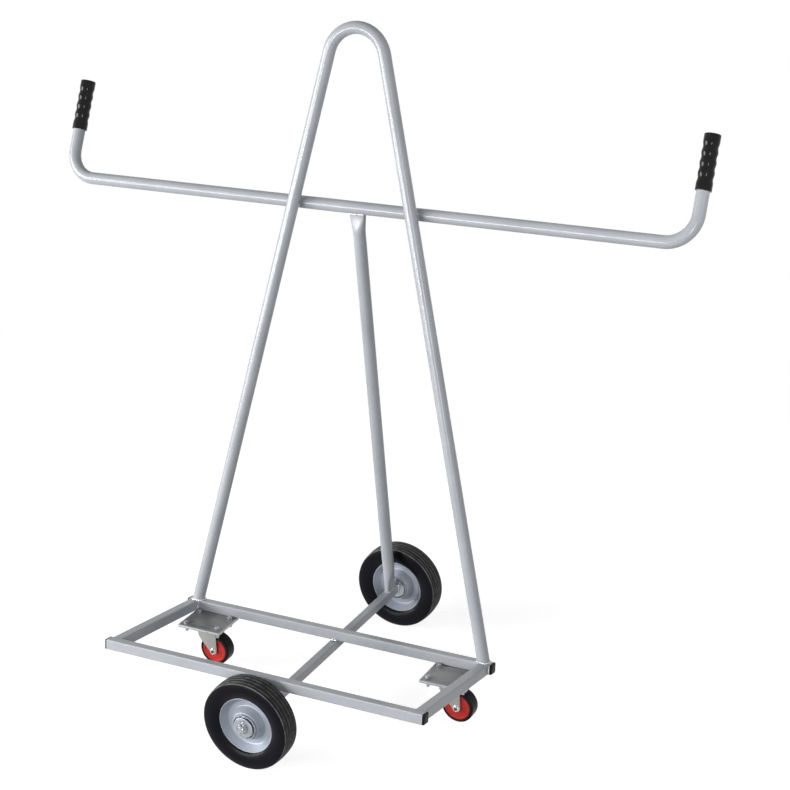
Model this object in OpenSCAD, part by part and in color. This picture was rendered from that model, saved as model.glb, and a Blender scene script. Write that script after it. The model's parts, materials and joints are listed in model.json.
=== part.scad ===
// Drywall cart: a base frame and mast that lean back over a level axle,
// two large wheels in line under the middle and two swivel casters under the rear corners.
// Millimetres, +Z up, +X to the right, +Y to the rear.
// The origin lies on the floor below the middle of the axle.

/* [Base frame] */
// Side of the square tube of the base frame
rail_side = 25; // [22:0.5:30]
// Wall of the base tube
rail_wall = 2; // [1.5:0.1:3]
// Outer corner radius of the base tube
rail_corner = 3; // [2:0.5:4]
// Inner corner radius of every square tube
bore_corner = 1; // [0.5:0.1:1.5]
// Length of the base over the end caps
base_length = 844.5; // [780:0.5:950]
// Depth of the base over both rails
base_depth = 377.5; // [330:0.5:420]
// Distance between the outer faces of the cross tubes
cross_tube_span = 829; // [760:1:830]
// Lean of the whole frame to the rear, in degrees
frame_tilt = 9.4; // [6:0.1:12]
// Rear edge of the rear rail, behind the middle of the axle
rear_rail_y = 41.8; // [35:0.1:60]

/* [End caps] */
// Thickness of the cap's flange
cap_flange = 3.6; // [2:0.1:5]
// Thickness of the raised pad on the flange
cap_pad = 1.2; // [0.5:0.1:2]
// Step from the flange's edge to the pad
cap_step = 1.2; // [0.5:0.1:2]
// Length of the cap's plug
cap_plug = 18; // [10:1:30]
// Clearance around the plug
cap_clearance = 0.15; // [0.05:0.05:0.3]

/* [Axle] */
// Side of the square axle tube
axle_side = 20; // [18:0.5:24]
// Wall of the axle tube
axle_wall = 1.9; // [1.5:0.1:1.9]
// Outer corner radius of the axle tube
axle_corner = 2; // [1.5:0.1:3]

/* [Mast] */
// Diameter of the round tube of mast, bar and strut
tube_d = 30; // [26:0.5:34]
// Wall of the round tube
tube_wall = 2; // [1.5:0.1:3]
// Distance between the mast's feet, centre to centre
mast_foot_span = 791; // [700:1:810]
// Height of the mast above the rail, along its lean
mast_height = 1454; // [1300:1:1600]
// Bend radius at the top of the mast, on the tube's centre line
mast_bend_r = 73.5; // [60:0.5:95]

/* [Handle bar] */
// Height of the bar above the rail, along the mast
bar_height = 1026; // [950:1:1080]
// Distance between the two handles, centre to centre
handle_span = 1636.5; // [1400:0.5:1800]
// Bend radius below each handle, on the tube's centre line
handle_bend_r = 68; // [55:1:90]
// Lean of the handles behind the mast, in degrees
handle_lean = 17.5; // [0:0.5:30]
// Length from the bar's centre line to the grip's end
handle_length = 243; // [235:1:300]

/* [Grips] */
// Length of a grip
grip_length = 124.5; // [116:0.5:135]
// Diameter of a grip over the ridges between its grooves
grip_d = 37; // [36:0.1:40]
// Diameter of the grip's lower flange
grip_flange_d = 37.2; // [36.5:0.1:42]
// Thickness of the lower flange
grip_flange = 2.5; // [1.5:0.1:4]
// Wall that closes the grip's end
grip_end = 3; // [2:0.1:5]
// Chamfer around the grip's end
grip_chamfer = 1.5; // [0.5:0.1:2.5]
// Radial clearance between grip and tube
grip_clearance = 0.05; // [0.01:0.01:0.1]
// Finger grooves around a grip
grip_grooves = 4; // [3:1:4]
// Distance between finger grooves
finger_pitch = 22.8; // [20:0.1:23]
// Distance from the grip's end to the first finger groove
finger_first = 29; // [20:0.1:30]
// Radius of a finger groove's hollow, along the grip
finger_r = 30; // [25:0.5:34]
// Depth of a finger groove
finger_depth = 1.7; // [0.8:0.1:2]

/* [Rear strut] */
// Foot of the strut on the axle, behind the axle's middle
strut_foot_y = 317.5; // [290:0.5:318]
// Width of the flattened ends
strut_flat_w = 41; // [36:0.5:44]
// Thickness of the flattened ends
strut_flat_t = 11; // [8:0.5:14]
// Length of the flattened ends
strut_flat = 22; // [16:1:30]
// Length over which the tube goes from round to flat
strut_taper = 54; // [45:1:90]

/* [Wheels] */
// Diameter of the large wheels
wheel_d = 220; // [210:1:230]
// Distance between the middle planes of the large wheels
wheel_track = 743; // [740:1:790]
// Width of the tyre
tyre_w = 55; // [52:0.5:58]
// Radius of the tread across the tyre
crown_r = 160; // [120:1:220]
// Radius of the sidewall's bulge
sidewall_r = 45; // [40:0.5:55]
// Distance from the axis at which the tyre is widest
sidewall_mid = 92; // [88:0.5:96]
// Number of grooves around the tread
groove_count = 4; // [2:1:4]
// Distance between grooves
groove_pitch = 11.1; // [9:0.1:12]
// Width of a groove
groove_w = 1.8; // [1:0.1:2.5]
// Depth of a groove
groove_depth = 2.4; // [1.5:0.1:4]
// Radius of the rim at its lip
rim_lip_r = 69.1; // [67:0.1:71]
// Distance from the tyre's side to the lip
rim_lip_inset = 8.4; // [7:0.1:10]
// Sheet thickness of the rim halves
rim_sheet = 2; // [1.5:0.1:2.5]
// Width of the flat edge of the lip
rim_lip = 1.5; // [1:0.1:2]
// Outer radius of the dish's flat floor
dish_outer_r = 55; // [52:0.5:57]
// Inner radius of the dish's flat floor
dish_inner_r = 42; // [40:0.5:45]
// Distance from the wheel's middle to the top of the boss
boss_reach = 22; // [19:0.5:24]
// Width of the flat ring on top of the boss
boss_ring = 3; // [2:0.5:5]
// Clearance between tyre and rim
seat_clearance = 0.1; // [0.05:0.05:0.3]

/* [Hubs] */
// Diameter of the spindle that carries a wheel
spindle_d = 16; // [14:0.1:16]
// Length of spindle held inside the axle tube
spindle_hold = 60; // [40:1:80]
// Length of spindle beyond the nut
spindle_tail = 1; // [0.5:0.5:6]
// Chamfer on the spindle's end
spindle_chamfer = 1; // [0.5:0.1:2]
// Bore of the hub tube
hub_bore = 56; // [52:0.5:58]
// Wall of the hub tube
hub_wall = 2.5; // [2:0.1:3]
// Length of the hub tube
hub_length = 54; // [52:0.5:56]
// Distance from the wheel's middle to the end of the bearing
bearing_reach = 24; // [20:0.5:25]
// Width of a bearing
bearing_w = 14; // [12:0.5:16]
// Thickness of the bearing's outer ring
outer_ring_t = 5; // [4:0.1:6]
// Thickness of the bearing's inner ring
inner_ring_t = 6.5; // [5:0.1:7]
// Step that keeps the outer ring clear of the washers
ring_step = 0.5; // [0.3:0.1:1]
// Depth of the ball grooves
race_depth = 0.8; // [0.5:0.1:1.2]
// Balls in one bearing
bearing_balls = 8; // [6:1:9]
// Diameter of the hub washers
washer_d = 50; // [44:0.5:51]
// Thickness of the inner hub washer
inner_washer = 3; // [2:0.5:4]
// Thickness of the outer hub washer
outer_washer = 7; // [4:0.5:8]
// Width across the flats of the castle nut
nut_flats = 24; // [22:0.5:27]
// Height of the nut's hexagon
nut_h = 6; // [5:0.5:12]
// Height of the nut's crown
crown_h = 4; // [4:0.5:7]
// Width of the slots in the crown
slot_w = 4.2; // [4:0.1:5]
// Diameter of the split pin
pin_d = 3.2; // [2.5:0.1:3.4]
// Length of the split pin below its eye
pin_length = 31; // [28:0.5:34]
// Radius of the split pin's eye
pin_eye_r = 3; // [2.5:0.1:4]

/* [Caster mounts] */
// Length of the mounting plate
mount_length = 119; // [112:1:125]
// Depth of the mounting plate
mount_depth = 93; // [88:0.5:96]
// Thickness of the mounting plate
mount_t = 4; // [3:0.5:5]
// Front edge of the mounting plate, from the axle's middle
mount_front_y = -66; // [-72:0.5:-62]
// Distance between the two casters, centre to centre
caster_span = 671; // [640:1:680]
// Distance between studs along the cart
stud_pitch_x = 90; // [86:0.5:92]
// Distance between studs across the cart
stud_pitch_y = 61; // [58:0.5:61]
// Diameter of a stud
stud_d = 7.9; // [7:0.1:8]
// Length of stud below the caster's plate
stud_tail = 15; // [8:0.5:16]
// Length of stud above its nut
stud_end = 1; // [0.5:0.5:4]
// Diameter of a stud's washer
stud_washer_d = 14.6; // [13:0.1:15]
// Thickness of a stud's washer
stud_washer = 1.4; // [1:0.1:1.4]
// Width across the flats of a stud's nut
stud_nut_flats = 12.8; // [12:0.1:13]
// Height of a stud's nut
stud_nut_h = 5; // [4:0.1:7]

/* [Casters] */
// Diameter of a caster wheel
caster_d = 80; // [75:1:85]
// Width of a caster wheel
caster_w = 32; // [28:0.5:34]
// Height of the caster wheels above the floor when the cart is level
caster_lift = 12; // [8:0.5:14]
// Distance of the wheel's axle behind the kingpin
caster_trail = 22; // [18:0.5:28]
// Thickness of the caster's top plate
caster_plate_t = 3; // [2.5:0.1:4]
// Height of the ball race between top plate and fork
race_h = 6; // [5:0.1:7]
// Radius of the circle of balls
race_r = 19; // [17:0.5:20]
// Balls in the swivel
race_balls = 14; // [10:1:15]
// Outer radius of the skirt around the balls
skirt_r = 28; // [26:0.5:29]
// Wall of the skirt
skirt_wall = 2.5; // [2:0.1:3]
// Gap between skirt and fork
skirt_gap = 0.5; // [0.4:0.1:1]
// Diameter of the kingpin
kingpin_d = 12; // [10:0.5:14]
// Diameter of the kingpin's head
kingpin_head_d = 20; // [17:0.5:22]
// Height of the kingpin's head
kingpin_head = 5; // [4:0.5:6]
// Radius at the fork's lower end
fork_end_r = 9.5; // [8:0.5:11]
// Length of the fork from the kingpin forwards
fork_nose = 30; // [24:0.5:34]
// Height of the fork leg's straight front edge below the crown
fork_shoulder = 8; // [4:0.5:14]
// Sheet thickness of the fork's legs
fork_t = 2.5; // [2:0.1:3]
// Thickness of the fork's crown
crown_t = 3.2; // [2.5:0.1:4]
// Gap between wheel and fork leg
fork_gap = 1.8; // [1.5:0.1:2.5]
// Diameter of the caster's axle bolt
caster_axle_d = 8; // [7:0.1:9]
// Width across the flats of the axle's head and nut
caster_nut_flats = 13; // [12:0.5:15]
// Height of the axle's head and nut
caster_nut_h = 5.5; // [4:0.1:7]
// Length of axle bolt beyond its nut
caster_axle_tail = 2; // [1:0.5:4]
// Wall of the bush on the axle
bush_wall = 2.4; // [2:0.1:3]
// Thickness of the caster's tread
tread_t = 8; // [6:0.1:10]
// Shoulder radius of the tread
tread_shoulder = 3; // [2:0.1:4]
// Radius of the core's hub
core_hub_r = 12.5; // [11:0.5:14]
// Half the thickness of the core's web
core_web = 15; // [8:0.5:15]
// Thickness of the core's rim
core_rim_t = 4.5; // [3:0.1:6]

/* [Fits] */
// Gap left at welded seams
weld_gap = 0.04; // [0.02:0.01:0.1]
// Radial clearance of a running fit
running_fit = 0.06; // [0.02:0.01:0.1]
// Radial clearance of a screw or pin in its own hole
screw_fit = 0.05; // [0.02:0.01:0.1]
// Clearance of a bolt in a plain hole
hole_fit = 0.5; // [0.3:0.1:1]
// Clearance around a rolling ball
ball_fit = 0.08; // [0.04:0.01:0.1]

/* [Hidden] */
$fn = 64;

left = -1;
right = 1;
paint = "lightsteelblue";
zinc = "silver";
rubber = "dimgray";
plastic = "black";

// Overrun that carries a cut clear of the face it opens
overrun = 1;
// Thickness of the slices that a tapered end is drawn between
slice = 0.2;

wheel_r = wheel_d / 2;
tube_r = tube_d / 2;
axle_top = wheel_r + axle_side / 2;

// The rear rail's rounded lower edge rests on the axle
corner_rise = rail_corner * (sin(frame_tilt) + cos(frame_tilt) - 1);
frame_z = axle_top - corner_rise + weld_gap;
rail_length = base_length - 2 * (cap_flange + cap_pad);
cross_tube_length = base_depth - 2 * rail_side - 2 * weld_gap;
riser_y = rear_rail_y - (base_depth - rail_side / 2) * cos(frame_tilt);

// Tangent from a foot of the mast to the bend at its top
mast_foot = mast_foot_span / 2;
mast_arc_height = mast_height - tube_r - mast_bend_r;
mast_slope = norm([mast_foot, mast_arc_height]);
mast_leg = sqrt(mast_slope * mast_slope - mast_bend_r * mast_bend_r);
mast_lean = atan2(mast_foot, mast_arc_height) - asin(mast_bend_r / mast_slope);

// The bar lies against the back of the mast's legs
bar_back = tube_d - rail_side / 2 + weld_gap;
bar_up = rail_side + bar_height;
bar_y = rear_rail_y + bar_back * cos(frame_tilt) + bar_up * sin(frame_tilt);
bar_z = frame_z - bar_back * sin(frame_tilt) + bar_up * cos(frame_tilt);
handle_x = handle_span / 2;
bar_straight = handle_x - handle_bend_r;
strut_lean = atan2(strut_foot_y - bar_y, bar_z - axle_top);
strut_length = norm([strut_foot_y - bar_y, bar_z - axle_top]);

// Stations along a wheel's axis, from its middle plane outwards
tube_end = bearing_reach + inner_washer;
nut_seat = bearing_reach + outer_washer;
nut_top = nut_seat + nut_h + crown_h;
pin_station = nut_seat + nut_h + crown_h / 2;
lip_station = tyre_w / 2 - rim_lip_inset;
spindle_r = spindle_d / 2;
hub_r = hub_bore / 2 + hub_wall;
ball_circle_r = (hub_bore / 2 - outer_ring_t + spindle_r + inner_ring_t) / 2;
race_gap = hub_bore / 2 - outer_ring_t - spindle_r - inner_ring_t;
ball_r = race_gap / 2 + race_depth - ball_fit;

// Heights of the casters, hung from a level plate below the rear rail
mount_rear_y = mount_front_y + mount_depth;
mount_top = frame_z + (rear_rail_y - mount_rear_y) * tan(frame_tilt) - weld_gap;
mount_bottom = mount_top - mount_t;
caster_x = caster_span / 2;
caster_y = mount_front_y + mount_depth / 2;
plate_bottom = mount_bottom - caster_plate_t;
fork_top = plate_bottom - race_h;
crown_bottom = fork_top - crown_t;
caster_r = caster_d / 2;
caster_axle_z = caster_lift + caster_r;
fork_inside = caster_w + 2 * fork_gap;
fork_outside = fork_inside + 2 * fork_t;
race_ball_r = race_h / 2 - ball_fit;
caster_axle_r = caster_axle_d / 2;
bush_r = caster_axle_r + screw_fit + bush_wall;
core_r = caster_r - tread_t;
stud_r = stud_d / 2;

// Tangent of the fork's sloping front edge to its round lower end
fork_run = caster_trail + fork_nose;
fork_drop = crown_bottom - fork_shoulder - caster_axle_z;
fork_slope = norm([fork_run, fork_drop]);
fork_angle = atan2(fork_drop, -fork_run) + acos(fork_end_r / fork_slope);

function hex_r(flats) = flats / sqrt(3);

// Shared shapes

module rounded_square(side, corner) {
    square([side - 2 * corner, side], center = true);
    square([side, side - 2 * corner], center = true);
    for (x = [-1, 1], y = [-1, 1])
        translate([x, y] * (side / 2 - corner))
            circle(corner);
}

module square_tube(side, wall, corner, length) {
    linear_extrude(length, center = true)
        difference() {
            rounded_square(side, corner);
            rounded_square(side - 2 * wall, bore_corner);
        }
}

module ring(outer_r, inner_r, from, to) {
    translate([0, 0, from])
        linear_extrude(to - from)
            difference() {
                circle(outer_r);
                circle(inner_r);
            }
}

module hexagon(flats, h) {
    cylinder(r = hex_r(flats), h = h, $fn = 6);
}

module slot_outline(length, width) {
    square([length - width, width], center = true);
    for (side = [-1, 1])
        translate([side * (length - width) / 2, 0])
            circle(width / 2);
}

// Places

module in_frame() {
    translate([0, rear_rail_y, frame_z])
        rotate([-frame_tilt, 0, 0])
            children();
}

module on_rear_rail() {
    in_frame()
        translate([0, -rail_side / 2, rail_side])
            children();
}

module at_bar() {
    in_frame()
        translate([0, bar_back, bar_up])
            rotate([-handle_lean, 0, 0])
                children();
}

module at_handle(side) {
    at_bar()
        translate([side * handle_x, 0, 0])
            children();
}

// A wheel's own axis is Z here and points away from the cart's middle
module at_rear_wheel() {
    translate([0, wheel_track / 2, wheel_r])
        rotate([-90, 0, 0])
            children();
}

module at_front_wheel() {
    mirror([0, 1, 0])
        at_rear_wheel()
            children();
}

module at_both_wheels() {
    at_front_wheel() children();
    at_rear_wheel() children();
}

module at_caster(side) {
    translate([side * caster_x, caster_y, 0])
        children();
}

// A caster wheel's own axis is Z here
module at_caster_wheel(side) {
    at_caster(side)
        translate([caster_trail, 0, caster_axle_z])
            rotate([90, 0, 0])
                children();
}

module at_studs(side) {
    at_caster(side)
        for (x = [-1, 1], y = [-1, 1])
            translate([x * stud_pitch_x / 2, y * stud_pitch_y / 2, 0])
                children();
}

// Base frame

module rail(y) {
    color(paint)
        in_frame()
            translate([0, y, rail_side / 2])
                rotate([0, 90, 0])
                    square_tube(rail_side, rail_wall, rail_corner, rail_length);
}

module front_rail() {
    rail(rail_side / 2 - base_depth);
}

module rear_rail() {
    rail(-rail_side / 2);
}

module cross_tube(side) {
    color(paint)
        in_frame()
            translate([side * (cross_tube_span - rail_side) / 2, -base_depth / 2, rail_side / 2])
                rotate([90, 0, 0])
                    square_tube(rail_side, rail_wall, rail_corner, cross_tube_length);
}

module left_cross_tube() {
    cross_tube(left);
}

module right_cross_tube() {
    cross_tube(right);
}

// An end cap points along Z, with its flange on the tube's end at zero
module end_cap() {
    linear_extrude(cap_flange)
        rounded_square(rail_side, rail_corner);
    translate([0, 0, cap_flange])
        linear_extrude(cap_pad)
            rounded_square(rail_side - 2 * cap_step, rail_corner);
    translate([0, 0, -cap_plug])
        linear_extrude(cap_plug)
            difference() {
                rounded_square(rail_side - 2 * rail_wall - 2 * cap_clearance, bore_corner);
                rounded_square(rail_side - 4 * rail_wall - 2 * cap_clearance, bore_corner);
            }
}

module rail_end_caps() {
    color(plastic)
        in_frame()
            for (side = [-1, 1], y = [-rail_side / 2, rail_side / 2 - base_depth])
                translate([side * rail_length / 2, y, rail_side / 2])
                    rotate([0, side * 90, 0])
                        end_cap();
}

module axle_tube() {
    color(paint)
        translate([0, 0, wheel_r])
            rotate([90, 0, 0])
                square_tube(axle_side, axle_wall, axle_corner, wheel_track - 2 * tube_end);
}

// A short post that carries the front rail on the axle, mitred to the rail's underside
module front_riser() {
    riser_h = base_depth * sin(frame_tilt) + rail_side;
    color(paint)
        difference() {
            translate([0, riser_y, axle_top + weld_gap + riser_h / 2])
                square_tube(axle_side, axle_wall, axle_corner, riser_h);
            in_frame()
                translate([-rail_side, -base_depth - rail_side, -weld_gap])
                    cube([2 * rail_side, 3 * rail_side, 2 * riser_h]);
        }
}

// Mast, bar and strut

// A leg of the hoop and the bend above it, carried past the middle plane
module mast_run(r) {
    translate([0, 0, mast_arc_height])
        rotate([90, 0, 0])
            rotate([0, 0, mast_lean]) {
                rotate_extrude(angle = 90)
                    translate([mast_bend_r, 0])
                        circle(r);
                translate([mast_bend_r, 0, 0])
                    rotate([90, 0, 0])
                        cylinder(r = r, h = mast_leg + tube_r);
            }
}

// Half of the hoop, trimmed at the middle plane and flush on the rail
module mast_half() {
    intersection() {
        difference() {
            mast_run(tube_r);
            mast_run(tube_r - tube_wall);
        }
        translate([0, -tube_d, weld_gap])
            cube([base_length, 2 * tube_d, mast_height + tube_d]);
    }
}

module mast_hoop() {
    color(paint)
        on_rear_rail() {
            mast_half();
            mirror([1, 0, 0])
                mast_half();
        }
}

module bar_solid(r, top) {
    rotate([0, 90, 0])
        cylinder(r = r, h = 2 * bar_straight, center = true);
    for (turn = [0, 180])
        rotate([0, 0, turn])
            translate([bar_straight, 0, handle_bend_r]) {
                rotate([90, 0, 0])
                    rotate([0, 0, -90])
                        rotate_extrude(angle = 90)
                            translate([handle_bend_r, 0])
                                circle(r);
                translate([handle_bend_r, 0, 0])
                    cylinder(r = r, h = top - handle_bend_r);
            }
}

module handle_bar() {
    tube_top = handle_length - grip_end - overrun;
    color(paint)
        at_bar()
            difference() {
                bar_solid(tube_r, tube_top);
                bar_solid(tube_r - tube_wall, tube_top + overrun);
            }
}

module flat_end(length) {
    linear_extrude(length)
        slot_outline(strut_flat_w, strut_flat_t);
}

// From a flat end at zero to the round tube
module strut_end() {
    flat_end(strut_flat);
    hull() {
        translate([0, 0, strut_flat - slice])
            flat_end(slice, $fn = 32);
        translate([0, 0, strut_flat + strut_taper])
            cylinder(r = tube_r, h = slice, $fn = 32);
    }
}

module strut_body() {
    round_from = strut_flat + strut_taper;
    rotate([0, 0, 90])
        translate([0, 0, -strut_flat / 2])
            strut_end();
    translate([0, 0, strut_length])
        rotate([180, 0, 0])
            strut_end();
    ring(tube_r, tube_r - tube_wall, round_from - strut_flat / 2, strut_length - round_from);
}

module rear_strut() {
    color(paint)
        difference() {
            translate([0, strut_foot_y, axle_top])
                rotate([strut_lean, 0, 0])
                    strut_body();
            at_bar()
                rotate([0, 90, 0])
                    cylinder(r = tube_r + weld_gap, h = 2 * strut_flat_w, center = true);
            translate([-strut_flat_w, strut_foot_y - strut_flat_w, axle_top + weld_gap - strut_flat_w])
                cube([2 * strut_flat_w, 2 * strut_flat_w, strut_flat_w]);
        }
}

// Grips

module finger_grooves() {
    for (row = [0:grip_grooves - 1])
        translate([0, 0, grip_length - finger_first - row * finger_pitch])
            rotate_extrude()
                translate([grip_d / 2 + finger_r - finger_depth, 0])
                    circle(finger_r);
}

module grip(side) {
    color(plastic)
        at_handle(side)
            translate([0, 0, handle_length - grip_length])
                difference() {
                    union() {
                        cylinder(d = grip_flange_d, h = grip_flange);
                        cylinder(d = grip_d, h = grip_length - grip_chamfer);
                        translate([0, 0, grip_length - grip_chamfer])
                            cylinder(d1 = grip_d, d2 = grip_d - 2 * grip_chamfer, h = grip_chamfer);
                    }
                    translate([0, 0, -overrun])
                        cylinder(r = tube_r + grip_clearance, h = grip_length - grip_end + overrun);
                    finger_grooves();
                }
}

module left_grip() {
    grip(left);
}

module right_grip() {
    grip(right);
}

// Caster mounts

module caster_mount(side) {
    color(paint)
        difference() {
            at_caster(side)
                translate([0, 0, mount_bottom + mount_t / 2])
                    cube([mount_length, mount_depth, mount_t], center = true);
            at_studs(side)
                translate([0, 0, mount_bottom - overrun])
                    cylinder(r = stud_r + hole_fit, h = mount_t + 2 * overrun);
        }
}

module left_caster_mount() {
    caster_mount(left);
}

module right_caster_mount() {
    caster_mount(right);
}

module caster_studs() {
    stud_top = mount_top + stud_washer + stud_nut_h + stud_end;
    color(zinc)
        for (side = [left, right])
            at_studs(side)
                translate([0, 0, plate_bottom - stud_tail])
                    cylinder(r = stud_r, h = stud_top - plate_bottom + stud_tail);
}

module caster_stud_washers() {
    color(zinc)
        for (side = [left, right])
            at_studs(side)
                ring(stud_washer_d / 2, stud_r + screw_fit, mount_top, mount_top + stud_washer);
}

module caster_stud_nuts() {
    color(zinc)
        for (side = [left, right])
            at_studs(side)
                translate([0, 0, mount_top + stud_washer])
                    difference() {
                        hexagon(stud_nut_flats, stud_nut_h);
                        translate([0, 0, -overrun])
                            cylinder(r = stud_r + screw_fit, h = stud_nut_h + 2 * overrun);
                    }
}

// Wheel carriers

module spindle() {
    spindle_end = nut_top + spindle_tail;
    color(zinc)
        difference() {
            union() {
                translate([0, 0, -tube_end - spindle_hold])
                    cylinder(r = spindle_r, h = spindle_end - spindle_chamfer + tube_end + spindle_hold);
                translate([0, 0, spindle_end - spindle_chamfer])
                    cylinder(r1 = spindle_r, r2 = spindle_r - spindle_chamfer, h = spindle_chamfer);
            }
            translate([0, 0, pin_station])
                rotate([90, 0, 0])
                    cylinder(d = pin_d + 2 * screw_fit, h = 2 * spindle_d, center = true);
        }
}

module front_spindle() {
    at_front_wheel() spindle();
}

module rear_spindle() {
    at_rear_wheel() spindle();
}

module hub_inner_washers() {
    color(zinc)
        at_both_wheels()
            ring(washer_d / 2, spindle_r + screw_fit, -tube_end, -bearing_reach);
}

module hub_outer_washers() {
    color(zinc)
        at_both_wheels()
            ring(washer_d / 2, spindle_r + screw_fit, bearing_reach, nut_seat);
}

module castle_nut() {
    difference() {
        union() {
            hexagon(nut_flats, nut_h);
            cylinder(d = nut_flats - rim_sheet, h = nut_h + crown_h);
        }
        translate([0, 0, -overrun])
            cylinder(r = spindle_r + screw_fit, h = nut_h + crown_h + 2 * overrun);
        for (turn = [0:60:120])
            rotate([0, 0, turn])
                translate([-slot_w / 2, -nut_flats, nut_h])
                    cube([slot_w, 2 * nut_flats, crown_h + overrun]);
    }
}

module castle_nuts() {
    color(zinc)
        at_both_wheels()
            translate([0, 0, nut_seat])
                castle_nut();
}

// The pin hangs from its eye above the nut
module split_pin() {
    rotate([90, 0, 0])
        translate([0, 0, -pin_length / 2])
            cylinder(d = pin_d, h = pin_length);
    translate([0, -pin_length / 2 - pin_eye_r, 0])
        rotate([0, 90, 0])
            rotate_extrude()
                translate([pin_eye_r, 0])
                    circle(d = pin_d / 2);
}

module split_pins() {
    color(zinc)
        at_both_wheels()
            translate([0, 0, pin_station])
                split_pin();
}

// Large wheels

module rim_wedge(gap) {
    polygon([
        [0, 0],
        [dish_outer_r + rim_sheet + gap, 0],
        [rim_lip_r + gap, lip_station - rim_sheet],
        [rim_lip_r + gap, tyre_w],
        [0, tyre_w]
    ]);
}

module tyre_outline() {
    difference() {
        intersection() {
            translate([wheel_r - crown_r, 0])
                circle(crown_r, $fn = 180);
            sidewall_bulge();
            translate([0, -tyre_w / 2])
                square([wheel_r, tyre_w]);
        }
        rim_wedge(seat_clearance);
        mirror([0, 1])
            rim_wedge(seat_clearance);
        for (index = [0:groove_count - 1])
            translate([wheel_r - groove_depth, (index - (groove_count - 1) / 2) * groove_pitch - groove_w / 2])
                square([groove_depth + overrun, groove_w]);
    }
}

// The part of the outline that lies inside both sidewall arcs
module sidewall_bulge() {
    intersection() {
        translate([sidewall_mid, tyre_w / 2 - sidewall_r])
            circle(sidewall_r, $fn = 96);
        translate([sidewall_mid, sidewall_r - tyre_w / 2])
            circle(sidewall_r, $fn = 96);
    }
}

module tyre() {
    color(rubber)
        rotate_extrude($fn = 96)
            tyre_outline();
}

// Half of the pressed rim, from the hub's collar over the dish to the lip
module rim_half() {
    boss_r = hub_r + weld_gap;
    boss_top_r = boss_r + boss_ring;
    color(zinc)
        rotate_extrude($fn = 96)
            polygon([
                [boss_r, boss_reach],
                [boss_top_r, boss_reach],
                [dish_inner_r, rim_sheet + weld_gap],
                [dish_outer_r, rim_sheet + weld_gap],
                [rim_lip_r - rim_lip, lip_station],
                [rim_lip_r, lip_station],
                [rim_lip_r, lip_station - rim_sheet],
                [dish_outer_r + rim_sheet, weld_gap],
                [dish_inner_r - rim_sheet, weld_gap],
                [boss_top_r - rim_sheet, boss_reach - rim_sheet],
                [boss_r, boss_reach - rim_sheet]
            ]);
}

module hub() {
    color(zinc)
        ring(hub_r, hub_bore / 2, -hub_length / 2, hub_length / 2);
}

module bearing_outer_ring() {
    color(zinc)
        difference() {
            ring(
                hub_bore / 2 - weld_gap, hub_bore / 2 - outer_ring_t,
                bearing_reach - bearing_w + ring_step, bearing_reach - ring_step
            );
            ball_groove();
        }
}

module bearing_inner_ring() {
    color(zinc)
        difference() {
            ring(
                spindle_r + inner_ring_t, spindle_r + screw_fit,
                bearing_reach - bearing_w, bearing_reach
            );
            ball_groove();
        }
}

module ball_groove() {
    translate([0, 0, bearing_reach - bearing_w / 2])
        rotate_extrude()
            translate([ball_circle_r, 0])
                circle(ball_r + ball_fit);
}

module ball_circle(count, circle_r, r) {
    for (index = [0:count - 1])
        rotate([0, 0, index * 360 / count])
            translate([circle_r, 0, 0])
                sphere(r);
}

module bearing_balls() {
    color(zinc)
        for (side = [-1, 1])
            translate([0, 0, side * (bearing_reach - bearing_w / 2)])
                ball_circle(bearing_balls, ball_circle_r, ball_r);
}

module on_both_ends() {
    children();
    mirror([0, 0, 1])
        children();
}

module front_tyre() {
    at_front_wheel() tyre();
}

module front_rim_outer() {
    at_front_wheel() rim_half();
}

module front_rim_inner() {
    at_front_wheel() mirror([0, 0, 1]) rim_half();
}

module front_hub() {
    at_front_wheel() hub();
}

module front_bearing_outer_rings() {
    at_front_wheel() on_both_ends() bearing_outer_ring();
}

module front_bearing_balls() {
    at_front_wheel() bearing_balls();
}

module front_bearing_inner_rings() {
    at_front_wheel() on_both_ends() bearing_inner_ring();
}

module rear_tyre() {
    at_rear_wheel() tyre();
}

module rear_rim_outer() {
    at_rear_wheel() rim_half();
}

module rear_rim_inner() {
    at_rear_wheel() mirror([0, 0, 1]) rim_half();
}

module rear_hub() {
    at_rear_wheel() hub();
}

module rear_bearing_outer_rings() {
    at_rear_wheel() on_both_ends() bearing_outer_ring();
}

module rear_bearing_balls() {
    at_rear_wheel() bearing_balls();
}

module rear_bearing_inner_rings() {
    at_rear_wheel() on_both_ends() bearing_inner_ring();
}

// Casters

module caster_plate(side) {
    color(zinc) {
        difference() {
            at_caster(side)
                translate([0, 0, plate_bottom + caster_plate_t / 2])
                    cube([mount_length, mount_depth, caster_plate_t], center = true);
            at_studs(side)
                translate([0, 0, plate_bottom - overrun])
                    cylinder(r = stud_r + screw_fit, h = caster_plate_t + 2 * overrun);
            at_caster(side)
                translate([0, 0, plate_bottom - overrun])
                    cylinder(r = kingpin_d / 2 + screw_fit, h = caster_plate_t + 2 * overrun);
        }
        at_caster(side)
            ring(skirt_r, skirt_r - skirt_wall, fork_top + skirt_gap, plate_bottom);
    }
}

module kingpin(side) {
    color(zinc)
        at_caster(side) {
            translate([0, 0, crown_bottom - skirt_gap])
                cylinder(d = kingpin_d, h = mount_bottom - crown_bottom + skirt_gap);
            translate([0, 0, crown_bottom - skirt_gap - kingpin_head])
                cylinder(d = kingpin_head_d, h = kingpin_head);
        }
}

module swivel_balls(side) {
    color(zinc)
        at_caster(side)
            translate([0, 0, plate_bottom - race_h / 2])
                ball_circle(race_balls, race_r, race_ball_r);
}

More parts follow.
